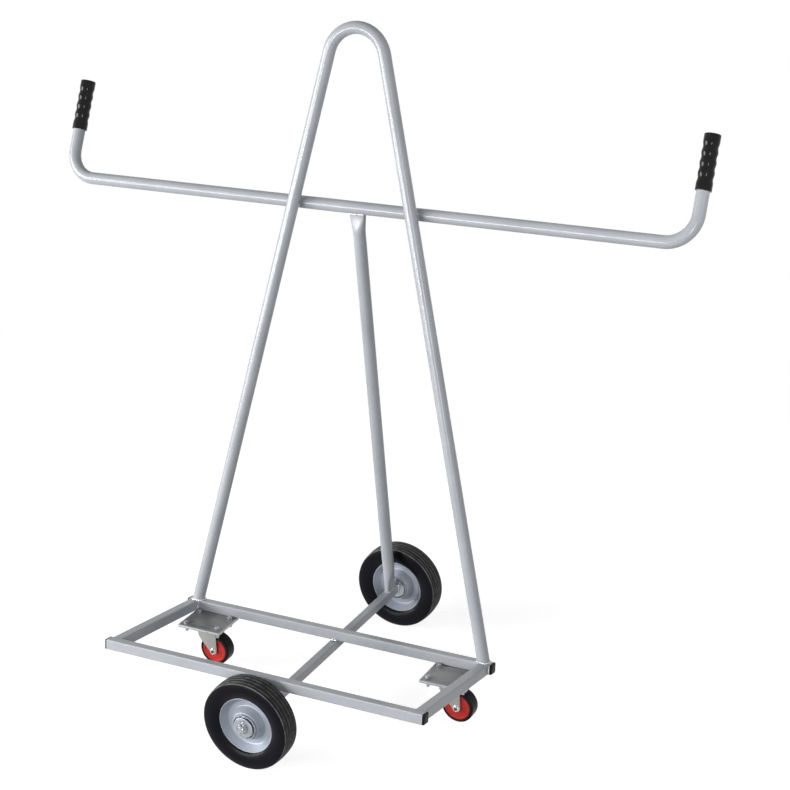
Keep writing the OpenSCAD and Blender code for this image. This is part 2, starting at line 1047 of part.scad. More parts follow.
// Side view of a fork leg, with X along the cart and Y up
module fork_leg_outline() {
    end_x = caster_trail + fork_end_r * cos(fork_angle);
    end_z = caster_axle_z + fork_end_r * sin(fork_angle);
    polygon([
        [-fork_nose, fork_top],
        [caster_trail + fork_end_r, fork_top],
        [caster_trail + fork_end_r, caster_axle_z],
        [caster_trail, caster_axle_z],
        [end_x, end_z],
        [-fork_nose, crown_bottom - fork_shoulder]
    ]);
}

// Plan of the fork, round at its nose and open at its rear, drawn inside the legs' outer faces
module fork_plan(inside, rear) {
    nose_r = fork_outside / 2;
    half = nose_r - inside;
    translate([nose_r - fork_nose, 0])
        circle(half);
    translate([nose_r - fork_nose, -half])
        square([fork_nose - nose_r + rear, 2 * half]);
}

module fork(side) {
    rear = caster_trail + fork_end_r;
    color(zinc)
        at_caster(side)
            difference() {
                intersection() {
                    union() {
                        rotate([90, 0, 0])
                            linear_extrude(fork_outside + 2 * overrun, center = true)
                                fork_leg_outline();
                        translate([caster_trail, 0, caster_axle_z])
                            rotate([90, 0, 0])
                                cylinder(r = fork_end_r, h = fork_outside + 2 * overrun, center = true);
                    }
                    linear_extrude(fork_top)
                        fork_plan(0, rear);
                }
                translate([0, 0, -overrun])
                    linear_extrude(crown_bottom + overrun)
                        fork_plan(fork_t, rear + overrun);
                translate([0, 0, crown_bottom - overrun])
                    cylinder(r = kingpin_d / 2 + running_fit, h = crown_t + 2 * overrun);
                translate([caster_trail, 0, caster_axle_z])
                    rotate([90, 0, 0])
                        cylinder(r = caster_axle_r + screw_fit, h = 2 * fork_outside, center = true);
            }
}

// The bolt's head lies behind the rear leg and its nut in front of the front leg
module caster_axle(side) {
    shank = fork_outside + caster_nut_h + caster_axle_tail;
    color(zinc)
        at_caster_wheel(side) {
            translate([0, 0, -fork_outside / 2])
                cylinder(r = caster_axle_r, h = shank);
            translate([0, 0, -fork_outside / 2 - caster_nut_h])
                hexagon(caster_nut_flats, caster_nut_h);
        }
}

module caster_axle_nut(side) {
    color(zinc)
        at_caster_wheel(side)
            translate([0, 0, fork_outside / 2])
                difference() {
                    hexagon(caster_nut_flats, caster_nut_h);
                    translate([0, 0, -overrun])
                        cylinder(r = caster_axle_r + screw_fit, h = caster_nut_h + 2 * overrun);
                }
}

module caster_bush(side) {
    color(zinc)
        at_caster_wheel(side)
            ring(bush_r, caster_axle_r + screw_fit, weld_gap - fork_inside / 2, fork_inside / 2 - weld_gap);
}

module caster_core(side) {
    bore_r = bush_r + running_fit;
    half = caster_w / 2;
    color("firebrick")
        at_caster_wheel(side)
            rotate_extrude()
                difference() {
                    translate([bore_r, -half])
                        square([core_r - weld_gap - bore_r, caster_w]);
                    for (side_y = [core_web, -half - overrun])
                        translate([core_hub_r, side_y])
                            square([core_r - core_rim_t - core_hub_r, half + overrun - core_web]);
                }
}

module caster_tread(side) {
    half = caster_w / 2;
    color(rubber)
        at_caster_wheel(side)
            rotate_extrude()
                intersection() {
                    translate([core_r, -half])
                        square([tread_t, caster_w]);
                    tread_outline(half);
                }
}

// A bar as wide as the wheel whose outer corners are rounded
module tread_outline(half) {
    translate([0, -half])
        square([caster_r - tread_shoulder, caster_w]);
    translate([0, tread_shoulder - half])
        square([caster_r, caster_w - 2 * tread_shoulder]);
    for (y = [-1, 1])
        translate([caster_r - tread_shoulder, y * (half - tread_shoulder)])
            circle(tread_shoulder);
}

module left_caster_plate() {
    caster_plate(left);
}

module left_kingpin() {
    kingpin(left);
}

module left_swivel_balls() {
    swivel_balls(left);
}

module left_fork() {
    fork(left);
}

module left_caster_axle() {
    caster_axle(left);
}

module left_caster_axle_nut() {
    caster_axle_nut(left);
}

module left_caster_bush() {
    caster_bush(left);
}

module left_caster_core() {
    caster_core(left);
}

module left_caster_tread() {
    caster_tread(left);
}

module right_caster_plate() {
    caster_plate(right);
}

module right_kingpin() {
    kingpin(right);
}

module right_swivel_balls() {
    swivel_balls(right);
}

module right_fork() {
    fork(right);
}

module right_caster_axle() {
    caster_axle(right);
}

module right_caster_axle_nut() {
    caster_axle_nut(right);
}

module right_caster_bush() {
    caster_bush(right);
}

module right_caster_core() {
    caster_core(right);
}

module right_caster_tread() {
    caster_tread(right);
}

front_rail();
rear_rail();
left_cross_tube();
right_cross_tube();
rail_end_caps();
axle_tube();
front_riser();
mast_hoop();
handle_bar();
rear_strut();
left_grip();
right_grip();
left_caster_mount();
right_caster_mount();
caster_studs();
caster_stud_washers();
caster_stud_nuts();
front_spindle();
rear_spindle();
hub_inner_washers();
hub_outer_washers();
castle_nuts();
split_pins();
front_tyre();
front_rim_outer();
front_rim_inner();
front_hub();
front_bearing_outer_rings();
front_bearing_balls();
front_bearing_inner_rings();
rear_tyre();
rear_rim_outer();
rear_rim_inner();
rear_hub();
rear_bearing_outer_rings();
rear_bearing_balls();
rear_bearing_inner_rings();
left_caster_plate();
left_kingpin();
left_swivel_balls();
left_fork();
left_caster_axle();
left_caster_axle_nut();
left_caster_bush();
left_caster_core();
left_caster_tread();
right_caster_plate();
right_kingpin();
right_swivel_balls();
right_fork();
right_caster_axle();
right_caster_axle_nut();
right_caster_bush();
right_caster_core();
right_caster_tread();
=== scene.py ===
"""Dresses the drywall cart: finishes, moulded wheels, casters, grips and caps, and its weld beads."""

import json
import logging
import math
import random
from collections.abc import Callable, Iterator, Sequence
from contextlib import contextmanager
from dataclasses import dataclass
from enum import Enum
from functools import cache
from itertools import pairwise, product
from typing import Any

import bmesh
import bpy
from mathutils import Matrix, Vector


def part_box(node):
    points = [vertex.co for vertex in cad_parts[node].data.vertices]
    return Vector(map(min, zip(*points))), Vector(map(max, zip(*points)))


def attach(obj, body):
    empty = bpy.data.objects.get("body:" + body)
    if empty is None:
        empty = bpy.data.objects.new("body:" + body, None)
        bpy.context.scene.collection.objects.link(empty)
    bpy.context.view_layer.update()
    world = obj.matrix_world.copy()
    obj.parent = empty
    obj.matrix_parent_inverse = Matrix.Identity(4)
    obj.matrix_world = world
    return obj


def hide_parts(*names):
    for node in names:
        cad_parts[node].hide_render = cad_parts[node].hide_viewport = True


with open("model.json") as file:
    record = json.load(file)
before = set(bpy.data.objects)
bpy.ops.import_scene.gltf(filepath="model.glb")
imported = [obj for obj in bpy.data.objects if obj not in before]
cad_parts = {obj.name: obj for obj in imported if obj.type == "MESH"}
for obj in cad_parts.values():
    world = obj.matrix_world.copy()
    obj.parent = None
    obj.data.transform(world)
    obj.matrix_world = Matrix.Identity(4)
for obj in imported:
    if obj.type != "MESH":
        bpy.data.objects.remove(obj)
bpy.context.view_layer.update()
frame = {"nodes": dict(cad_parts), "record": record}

LOG = logging.getLogger("drywall_cart")
MM = 0.001
MERGE_GAP = MM / 500

# Places that several pieces share, in degrees and millimetres
FRAME_LEAN_DEG = 9.4
FRAME_Y = 41.8
FRAME_Z = 119.590
WHEEL_TRACK_Y = 371.5
WHEEL_AXLE_Z = 110.0
GROOVE_PITCH = 11.1
CASTER_SPAN = 671.0
KINGPIN_Y = -19.5
BAR_Y = 230.76
BAR_Z = 1153.61

HALF_TURN = Matrix.Rotation(math.pi, 4, "Z")

Colour = tuple[float, float, float]
Corner = tuple[float, float, float]
Span = tuple[float, float]


class Place(Enum):
    """A place on the cart whose name starts the names of its nodes."""

    @property
    def word(self) -> str:
        """The place's name as it starts a node's name."""
        return self.name.lower()


class Side(Place):
    """The cart's left and right ends, with the sign that they have along X."""

    LEFT = -1
    RIGHT = 1


class End(Place):
    """The cart's front and rear wheel, with the sign that they have along Y."""

    FRONT = -1
    REAR = 1


# Shader graphs


class Wire:
    """A socket of a shader graph on which Python's operators add Math nodes."""

    def __init__(self, graph: "Graph", socket: bpy.types.NodeSocket) -> None:
        """Keep the graph and the output socket.

        Args:
            graph: The graph that the socket belongs to.
            socket: The output socket.
        """
        self.graph = graph
        self.socket = socket

    def _math(self, operation: str, first: Any, second: Any) -> "Wire":
        """Add one Math node.

        Args:
            operation: The Math node's operation.
            first: A wire or a number.
            second: A wire or a number.

        Returns:
            The node's value.
        """
        return self.graph.add("ShaderNodeMath", {"operation": operation}, {0: first, 1: second})

    def __add__(self, other: Any) -> "Wire":
        """Sum with a wire or a number."""
        return self._math("ADD", self, other)

    def __radd__(self, other: Any) -> "Wire":
        """Sum with a number on the left."""
        return self._math("ADD", other, self)

    def __sub__(self, other: Any) -> "Wire":
        """Difference to a wire or a number."""
        return self._math("SUBTRACT", self, other)

    def __rsub__(self, other: Any) -> "Wire":
        """Difference from a number on the left."""
        return self._math("SUBTRACT", other, self)

    def __mul__(self, other: Any) -> "Wire":
        """Product with a wire or a number."""
        return self._math("MULTIPLY", self, other)

    def __rmul__(self, other: Any) -> "Wire":
        """Product with a number on the left."""
        return self._math("MULTIPLY", other, self)

    def __abs__(self) -> "Wire":
        """The value without its sign."""
        return self._math("ABSOLUTE", self, 0.0)

    def __pow__(self, exponent: float) -> "Wire":
        """A power of the value."""
        return self._math("POWER", self, exponent)

    def step(self, low: float, high: float) -> "Wire":
        """Rise smoothly from 0 to 1.

        Args:
            low: The value at which the rise starts.
            high: The value at which it ends.

        Returns:
            The smooth step.
        """
        inputs = {"Value": self, "From Min": low, "From Max": high}
        return self.graph.add("ShaderNodeMapRange", {"interpolation_type": "SMOOTHSTEP"}, inputs)

    def rise(self, span: Span) -> "Wire":
        """Rise smoothly from 0 to 1 between two lengths in millimetres."""
        return self.step(span[0] * MM, span[1] * MM)


class Graph:
    """The node graph of a material or a world."""

    def __init__(self, owner: bpy.types.Material | bpy.types.World) -> None:
        """Start on the graph that Blender gives its owner, with one shader and the output.

        Args:
            owner: The material or world.
        """
        owner.use_nodes = True
        self.owner = owner
        self.tree = owner.node_tree
        self.output = next(n for n in self.tree.nodes if n.type.startswith("OUTPUT"))
        self.shader = next(n for n in self.tree.nodes if n is not self.output)
        self.place = self.add("ShaderNodeTexCoord", out="Object")

    def add(
        self,
        kind: str,
        settings: dict[str, Any] | None = None,
        inputs: dict[str | int, Any] | None = None,
        out: str | int = 0,
    ) -> Wire:
        """Add a node, set it up and link its sockets.

        Args:
            kind: The node's type.
            settings: Attributes that are set first.
            inputs: Values or wires by socket name or number.
            out: The output socket that is returned.

        Returns:
            The wire of that output.
        """
        node = self.tree.nodes.new(kind)
        for key, value in (settings or {}).items():
            setattr(node, key, value)
        for key, value in (inputs or {}).items():
            self.feed(node.inputs[key], value)
        return Wire(self, node.outputs[out])

    def feed(self, socket: bpy.types.NodeSocket, value: Any) -> None:
        """Link a wire to a socket, or set the socket's value.

        Args:
            socket: The input socket.
            value: A wire, a number or a colour.
        """
        if isinstance(value, Wire):
            self.tree.links.new(value.socket, socket)
        else:
            socket.default_value = value

    def shade(self, **inputs: Any) -> bpy.types.Material | bpy.types.World:
        """Feed the graph's own shader.

        Args:
            **inputs: Values or wires by socket name, with underscores for spaces.

        Returns:
            The graph's owner.
        """
        for key, value in inputs.items():
            self.feed(self.shader.inputs[key.replace("_", " ")], value)
        return self.owner

    def blend(self, factor: Wire, first: Wire, second: Wire) -> Wire:
        """Mix two shaders.

        Args:
            factor: The share of the second shader.
            first: The first shader.
            second: The second shader.

        Returns:
            The mixed shader.
        """
        return self.add("ShaderNodeMixShader", None, {0: factor, 1: first, 2: second})

    def rays(self, *kinds: str) -> Wire:
        """Tell rays of some kinds from all others.

        Args:
            *kinds: The kinds, as in "Glossy" or "Camera".

        Returns:
            1 for these rays and 0 for others.
        """
        found = [self.add("ShaderNodeLightPath", out=f"Is {kind} Ray") for kind in kinds]
        return sum(found[1:], found[0]).step(0.0, 1.0)

    def noise(self, scale: float, detail: float = 2.0, stretch: Sequence[float] = (1.0, 1.0, 1.0)) -> Wire:
        """Add a noise pattern on the object's own coordinates.

        Args:
            scale: Repeats in a metre.
            detail: The noise's octaves.
            stretch: A scale for each axis.

        Returns:
            The noise, from 0 to 1.
        """
        place = self.place
        if tuple(stretch) != (1.0, 1.0, 1.0):
            place = self.add("ShaderNodeMapping", None, {"Vector": self.place, "Scale": stretch})
        return self.add("ShaderNodeTexNoise", None, {"Vector": place, "Scale": scale, "Detail": detail})

    def axis(self, name: str) -> Wire:
        """Take one of the object's own coordinates.

        Args:
            name: X, Y or Z.

        Returns:
            The coordinate, in metres.
        """
        return self.add("ShaderNodeSeparateXYZ", None, {0: self.place}, name)

    def mix(self, factor: Wire, low: Wire | Colour, high: Wire | Colour) -> Wire:
        """Mix two colours.

        Args:
            factor: The share of the second colour.
            low: The first colour.
            high: The second colour.

        Returns:
            The mixed colour.
        """
        first, second = (c if isinstance(c, Wire) else (*c, 1.0) for c in (low, high))
        return self.add("ShaderNodeMix", {"data_type": "RGBA"}, {0: factor, 6: first, 7: second}, out=2)

    def bump(self, height: Wire, strength: float, step_mm: float) -> Wire:
        """Turn a height into a normal.

        Args:
            height: The height, from 0 to 1.
            strength: The bump's strength.
            step_mm: The height of a full step, in millimetres.

        Returns:
            The normal.
        """
        inputs = {"Strength": strength, "Distance": step_mm * MM, "Height": height}
        return self.add("ShaderNodeBump", None, inputs)


# Finishes


@dataclass(frozen=True)
class SilverPaint:
    """Sprayed silver-grey paint with fine metal flakes and a faint orange peel."""

    name: str = "silver_paint"
    slot: str = "paint"
    light: Colour = (0.426, 0.444, 0.474)
    dark: Colour = (0.345, 0.362, 0.389)
    metallic: float = 0.03
    roughness: float = 0.25
    peel: float = 0.10
    specular: float = 0.37

    def make(self) -> bpy.types.Material:
        """Build the paint.

        Returns:
            The material.
        """
        graph = Graph(bpy.data.materials.new(self.name))
        cloud = graph.noise(9.0, 3.0)
        flake = graph.noise(900.0, 1.0)
        tone = (cloud * 0.6 + flake * 0.4).step(0.25, 0.75)
        peel = graph.noise(520.0, 2.0)
        return graph.shade(
            Base_Color=graph.mix(tone, self.dark, self.light),
            Metallic=self.metallic,
            Specular_IOR_Level=self.specular,
            Roughness=self.roughness + 0.10 * (cloud - 0.5) + 0.06 * (flake - 0.5),
            Normal=graph.bump(peel, self.peel, 0.4),
        )


@dataclass(frozen=True)
class ZincPlate:
    """Zinc-plated steel with a faint crystalline mottle."""

    name: str = "zinc_plate"
    slot: str = "zinc"
    light: Colour = (0.43, 0.46, 0.50)
    dark: Colour = (0.315, 0.335, 0.365)
    metallic: float = 0.8
    roughness: float = 0.28
    crystals: float = 420.0

    def make(self) -> bpy.types.Material:
        """Build the plating.

        Returns:
            The material.
        """
        graph = Graph(bpy.data.materials.new(self.name))
        inputs = {"Vector": graph.place, "Scale": self.crystals}
        crystal = graph.add("ShaderNodeTexVoronoi", {"feature": "F1"}, inputs)
        smear = graph.noise(60.0, 3.0)
        tone = (crystal * 0.5 + smear * 0.7).step(0.2, 0.9)
        return graph.shade(
            Base_Color=graph.mix(tone, self.dark, self.light),
            Metallic=self.metallic,
            Roughness=self.roughness + 0.22 * (smear - 0.5),
            Normal=graph.bump(smear, 0.06, 0.3),
        )


@dataclass(frozen=True)
class Rubber:
    """Black rubber with a fine moulded grain and a dusty bloom."""

    name: str
    slot: str
    dark: Colour
    bloom: Colour
    roughness: float
    grain: float
    specular: float

    def make(self) -> bpy.types.Material:
        """Build the rubber.

        Returns:
            The material.
        """
        graph = Graph(bpy.data.materials.new(self.name))
        cloud = graph.noise(38.0, 4.0)
        grain = graph.noise(1900.0, 2.0)
        return graph.shade(
            Base_Color=graph.mix(cloud.step(0.35, 0.8), self.dark, self.bloom),
            Specular_IOR_Level=self.specular,
            Roughness=self.roughness + 0.25 * (cloud - 0.5),
            Normal=graph.bump(grain, self.grain, 0.3),
        )


@dataclass(frozen=True)
class TyreRubber:
    """A tyre's black rubber: a glossy sidewall and a lighter, duller tread, with a light grey in patches along
    its shoulders and its groove lips.

    On the groove lips that light grey is a painted highlight mixed with dust. The spans give where a zone begins
    and is
    complete, in millimetres: from the axle for the tread and the lips' height, from a groove's middle for the
    lips' edges, and from the wheel's middle plane for the shoulder.
    """

    name: str = "tyre_rubber"
    slot: str = "tyre"
    sidewall: Colour = (0.0028, 0.0030, 0.0055)
    tread: Colour = (0.030, 0.030, 0.031)
    # Light grey: on the groove lips a painted highlight mixed with dust, and the shoulders' lighter colour.
    dust: Colour = (0.170, 0.168, 0.160)
    specular: float = 0.1
    roughness: float = 0.30
    tread_span: Span = (106.4, 107.2)
    lip_height: Span = (107.8, 108.4)
    lip_inner: Span = (0.6, 1.0)
    lip_outer: Span = (1.4, 2.0)
    shoulder_span: Span = (22.9, 23.5)

    def make(self) -> bpy.types.Material:
        """Build the rubber.

        Returns:
            The material.
        """
        graph = Graph(bpy.data.materials.new(self.name))
        radius = (graph.axis("X") ** 2.0 + abs(graph.axis("Z") - WHEEL_AXLE_Z * MM) ** 2.0) ** 0.5
        lane = abs(abs(graph.axis("Y")) - WHEEL_TRACK_Y * MM)
        groove = abs(abs(lane - GROOVE_PITCH * MM) - GROOVE_PITCH / 2 * MM)
        on_tread = radius.rise(self.tread_span)
        # The groove lips' light lines are a painted highlight along the groove edges, mixed with dust; the
        # shoulders get the same light grey.
        by_groove = groove.rise(self.lip_inner) * (1.0 - groove.rise(self.lip_outer))
        lip = by_groove * radius.rise(self.lip_height)
        shoulder = lane.rise(self.shoulder_span) * on_tread
        cloud = graph.noise(60.0, 4.0)
        grain = graph.noise(1500.0, 2.0)
        dust_and_highlight_mask = (lip + shoulder) * cloud.step(0.15, 0.6)
        rubber = graph.mix(on_tread * cloud.step(0.1, 0.7), self.sidewall, self.tread)
        return graph.shade(
            Base_Color=graph.mix(dust_and_highlight_mask, rubber, self.dust),
            Specular_IOR_Level=self.specular,
            Roughness=self.roughness + 0.12 * (cloud - 0.5) + 0.3 * on_tread,
            Normal=graph.bump(grain, 0.1, 0.2),
        )


@dataclass(frozen=True)
class MountPaint:
    """The mounting plates' paint: painted shade on the top face with lighter cloud patches of painted sheen, and
    a painted highlight on the cut edges.
    """

    name: str = "mount_paint"
    slot: str = "mount_plate"
    # Painted light: top is the top face's painted shade, smear its lighter cloud patches of painted sheen, and
    # edge the painted highlight on the cut edges.
    top: Colour = (0.260, 0.262, 0.260)
    smear: Colour = (0.340, 0.342, 0.340)
    edge: Colour = (0.60, 0.61, 0.62)
    metallic: float = 0.35
    roughness: float = 0.36
    specular: float = 0.15
    shaded_top_span: Span = (121.1, 121.7)

    def make(self) -> bpy.types.Material:
        """Build the paint.

        Returns:
            The material.
        """
        graph = Graph(bpy.data.materials.new(self.name))
        # Height mask: 1 on the top face, which gets the painted shade and sheen colours, 0 on the cut edges,
        # which get the painted highlight colour.
        on_shaded_top = graph.axis("Z").rise(self.shaded_top_span)
        cloud = graph.noise(22.0, 3.0)
        peel = graph.noise(520.0, 2.0)
        face = graph.mix(cloud.step(0.3, 0.75), self.top, self.smear)
        return graph.shade(
            Base_Color=graph.mix(on_shaded_top, self.edge, face),
            Metallic=self.metallic,
            Specular_IOR_Level=self.specular,
            Roughness=self.roughness + 0.2 * (cloud - 0.5),
            Normal=graph.bump(peel, 0.08, 0.3),
        )


@dataclass(frozen=True)
class MouldedPlastic:
    """Coloured plastic with faint flow marks."""

    name: str
    slot: str
    dark: Colour
    light: Colour
    roughness: float
    specular: float = 0.25
    flow: tuple[float, float, float] = (1.0, 0.4, 1.0)

    def make(self) -> bpy.types.Material:
        """Build the plastic.

        Returns:
            The material.
        """
        graph = Graph(bpy.data.materials.new(self.name))
        flow = graph.noise(24.0, 3.0, self.flow)
        speck = graph.noise(900.0, 2.0)
        return graph.shade(
            Base_Color=graph.mix(flow.step(0.3, 0.7), self.dark, self.light),
            Specular_IOR_Level=self.specular,
            Roughness=self.roughness + 0.16 * (flow - 0.5),
            Normal=graph.bump(speck, 0.07, 0.2),
        )


Finish = SilverPaint | MountPaint | ZincPlate | Rubber | TyreRubber | MouldedPlastic

PAINT = SilverPaint()
RIM_PAINT = SilverPaint(
    "rim_paint", "rim", (0.386, 0.42, 0.478), (0.318, 0.347, 0.396), 0.20, 0.38, peel=0.05, specular=0.2
)
PLATE_PAINT = MountPaint()
ZINC = ZincPlate()
BRIGHT_ZINC = ZincPlate("bright_zinc", "zinc", (0.80, 0.80, 0.80), (0.58, 0.58, 0.58), 0.85, 0.24)
DARK_STEEL = ZincPlate("dark_steel", "zinc", (0.12, 0.125, 0.14), (0.05, 0.052, 0.06), 0.7, 0.35)
FORK_ZINC = ZincPlate("fork_zinc", "zinc", (0.335, 0.331, 0.313), (0.28, 0.277, 0.263), 0.45, 0.42)
WELD = ZincPlate("weld_bead", "paint", (0.66, 0.67, 0.68), (0.46, 0.47, 0.48), 0.7, 0.22)
STEEL = ZincPlate("bearing_steel", "bearing", (0.74, 0.74, 0.74), (0.6, 0.6, 0.6), 1.0, 0.2)
TYRE = TyreRubber()
TREAD = Rubber("tread_rubber", "tread", (0.005, 0.0045, 0.005), (0.016, 0.015, 0.015), 0.34, 0.08, 0.10)
GRIP = Rubber("grip_rubber", "grip", (0.002, 0.002, 0.0025), (0.006, 0.006, 0.007), 0.14, 0.02, 0.22)
CAP = MouldedPlastic("cap_plastic", "cap", (0.003, 0.003, 0.0035), (0.008, 0.008, 0.009), 0.40, 0.08)
RED_CORE = MouldedPlastic("red_core", "caster_core", (0.41, 0.018, 0.014), (0.50, 0.028, 0.021), 0.34)


@cache
def material_of(finish: Finish) -> bpy.types.Material:
    """Build a finish's material once.

    Args:
        finish: The finish.

    Returns:
        The material.
    """
    return finish.make()


# Places and outlines


def at(x: float, y: float, z: float) -> Matrix:
    """A move to a place that is given in millimetres."""
    return Matrix.Translation(Vector((x, y, z)) * MM)


def in_frame(x: float, v: float, w: float) -> Vector:
    """Turn a place on the leaning base into a place in the scene.

    Args:
        x: Millimetres along the base.
        v: Millimetres towards the rear, from the rear rail's back.
        w: Millimetres up from the base's underside.

    Returns:
        The place in metres.
    """
    lean = math.radians(FRAME_LEAN_DEG)
    y = FRAME_Y + v * math.cos(lean) + w * math.sin(lean)
    z = FRAME_Z - v * math.sin(lean) + w * math.cos(lean)
    return Vector((x, y, z)) * MM


def mirrored(corners: Sequence[Corner]) -> list[Corner]:
    """The same corners on the other side of station 0, in reverse order."""
    return [(radius, -station, rounding) for radius, station, rounding in reversed(corners)]


def filleted(corners: Sequence[Corner], arc_steps: int = 5) -> list[tuple[float, float]]:
    """Round the corners of a closed outline.

    Args:
        corners: Radius, station and rounding of each corner.
        arc_steps: Edges in each rounded corner.

    Returns:
        The outline's points, with the first repeated at the end.
    """
    nearly_straight = math.radians(88)
    most_of_edge = 0.49
    points: list[tuple[float, float]] = []
    count = len(corners)
    for index, (radius, station, rounding) in enumerate(corners):
        here = Vector((radius, station))
        back = Vector(corners[index - 1][:2]) - here
        ahead = Vector(corners[(index + 1) % count][:2]) - here
        half = back.angle(ahead) / 2
        if rounding <= 0 or half > nearly_straight:
            points.append((radius, station))
            continue
        reach = min(rounding / math.tan(half), most_of_edge * back.length, most_of_edge * ahead.length)
        first, last = here + back.normalized() * reach, here + ahead.normalized() * reach
        middle = here + (back.normalized() + ahead.normalized()).normalized() * reach / math.cos(half)
        sweep = (first - middle).angle_signed(last - middle)
        for step in range(arc_steps + 1):
            turned = (first - middle).copy()
            turned.rotate(Matrix.Rotation(-sweep * step / arc_steps, 2))
            points.append(tuple(middle + turned))
    return points + points[:1]


# Modelling


class Workbench:
    """Modelling steps, each made with Blender's operators on the piece in hand."""

    @staticmethod
    def release() -> None:
        """Leave edit mode and deselect every object."""
        active = bpy.context.view_layer.objects.active
        if active is not None and active.mode != "OBJECT":
            bpy.ops.object.mode_set(mode="OBJECT")
        bpy.ops.object.select_all(action="DESELECT")

    @staticmethod
    def take(piece: bpy.types.Object) -> None:
        """Select only this piece and make it active.

        Args:
            piece: The piece.
        """
        Workbench.release()
        piece.select_set(True)
        bpy.context.view_layer.objects.active = piece

    @staticmethod
    @contextmanager
    def editing(piece: bpy.types.Object, kind: str = "VERT") -> Iterator[None]:
        """Edit the piece's mesh within a with block.

        Args:
            piece: The piece.
            kind: The select mode, VERT, EDGE or FACE.

        Yields:
            Nothing.
        """
        Workbench.take(piece)
        bpy.ops.object.mode_set(mode="EDIT")
        bpy.ops.mesh.select_mode(type=kind)
        yield
        bpy.ops.object.mode_set(mode="OBJECT")

    @staticmethod
    def choose(piece: bpy.types.Object, kind: str, test: Callable[[Any], bool]) -> None:
        """Select edges or faces by a test while editing.

        Args:
            piece: The piece that is being edited.
            kind: Which elements: edges or faces.
            test: Says whether an element is selected.
        """
        bpy.ops.mesh.select_all(action="DESELECT")
        mesh = bmesh.from_edit_mesh(piece.data)
        for element in getattr(mesh, kind):
            if test(element):
                element.select_set(True)
        bmesh.update_edit_mesh(piece.data)

    @staticmethod
    def adopt(name: str) -> bpy.types.Object:
        """Name the primitive just added and put its place into its mesh.

        Args:
            name: The piece's name.

        Returns:
            The piece.
        """
        piece = bpy.context.object
        piece.name = piece.data.name = name
        bpy.ops.object.transform_apply(location=True, rotation=True, scale=True)
        return piece

    @staticmethod
    def place(piece: bpy.types.Object, matrix: Matrix) -> None:
        """Move a piece and put its new place into its mesh.

        Args:
            piece: The piece.
            matrix: The move.
        """
        Workbench.take(piece)
        piece.matrix_world = matrix
        bpy.ops.object.transform_apply(location=True, rotation=True, scale=True)

    @staticmethod
    def extrude(x: float, y: float, z: float) -> None:
        """Extrude what is selected while editing, by millimetres."""
        bpy.ops.mesh.extrude_region_move(TRANSFORM_OT_translate={"value": (x * MM, y * MM, z * MM)})

    @staticmethod
    def mend() -> None:
        """Merge doubles and turn all faces outwards while editing."""
        bpy.ops.mesh.select_all(action="SELECT")
        bpy.ops.mesh.remove_doubles(threshold=MERGE_GAP)
        bpy.ops.mesh.normals_make_consistent(inside=False)

    @staticmethod
    def join_flats(degrees: float) -> None:
        """Join faces that lie in one plane while editing.

        Args:
            degrees: The angle up to which faces count as one plane.
        """
        bpy.ops.mesh.select_all(action="SELECT")
        bpy.ops.mesh.dissolve_limited(angle_limit=math.radians(degrees))

    @staticmethod
    def modify(piece: bpy.types.Object, kind: str, **settings: Any) -> None:
        """Add a modifier and apply it.

        Args:
            piece: The piece.
            kind: The modifier's type.
            **settings: Its settings.
        """
        Workbench.take(piece)
        modifier = piece.modifiers.new(kind.lower(), kind)
        for key, value in settings.items():
            setattr(modifier, key, value)
        bpy.ops.object.modifier_apply(modifier=modifier.name)

    @staticmethod
    def round_edges(piece: bpy.types.Object, width: float, segments: int = 2, degrees: float = 50.0) -> None:
        """Round a piece's sharp edges.

        Args:
            piece: The piece.
            width: The rounding, in millimetres.
            segments: Faces across a rounded edge.
            degrees: The angle above which an edge is sharp.
        """
        limit = math.radians(degrees)
        Workbench.modify(
            piece, "BEVEL", width=width * MM, segments=segments, limit_method="ANGLE", angle_limit=limit
        )

    @staticmethod
    def lathe(name: str, outline: Sequence[tuple[float, float]], steps: int) -> bpy.types.Object:
        """Draw an outline by extruding a point, then spin it round the Y axis.

        Args:
            name: The piece's name.
            outline: Radius and station of each point, in millimetres.
            steps: Faces around.

        Returns:
            The turned piece, on the origin.
        """
        Workbench.release()
        radius, station = outline[0]
        bpy.ops.mesh.primitive_plane_add(size=MM, location=(radius * MM, station * MM, 0.0))
        piece = Workbench.adopt(name)
        with Workbench.editing(piece):
            bpy.ops.mesh.select_all(action="SELECT")
            bpy.ops.mesh.merge(type="CENTER")
            for before, after in pairwise(outline):
                Workbench.extrude(after[0] - before[0], after[1] - before[1], 0.0)
            bpy.ops.mesh.select_all(action="SELECT")
            bpy.ops.mesh.spin(steps=steps, angle=math.tau, center=(0.0, 0.0, 0.0), axis=(0.0, 1.0, 0.0))
            Workbench.mend()
        return piece

    @staticmethod
    def copy_of(node: str, name: str) -> bpy.types.Object:
        """Copy a CAD node's mesh, merged and with its flat faces joined.

        Args:
            node: The node.
            name: The copy's name.

        Returns:
            The copy.
        """
        piece = bpy.data.objects.new(name, frame["nodes"][node].data.copy())
        bpy.context.scene.collection.objects.link(piece)
        piece.data.name = name
        piece.data.materials.clear()
        with Workbench.editing(piece):
            bpy.ops.mesh.select_all(action="SELECT")
            bpy.ops.mesh.remove_doubles(threshold=MERGE_GAP)
            bpy.ops.mesh.customdata_custom_splitnormals_clear()
            Workbench.join_flats(degrees=0.4)
        return piece

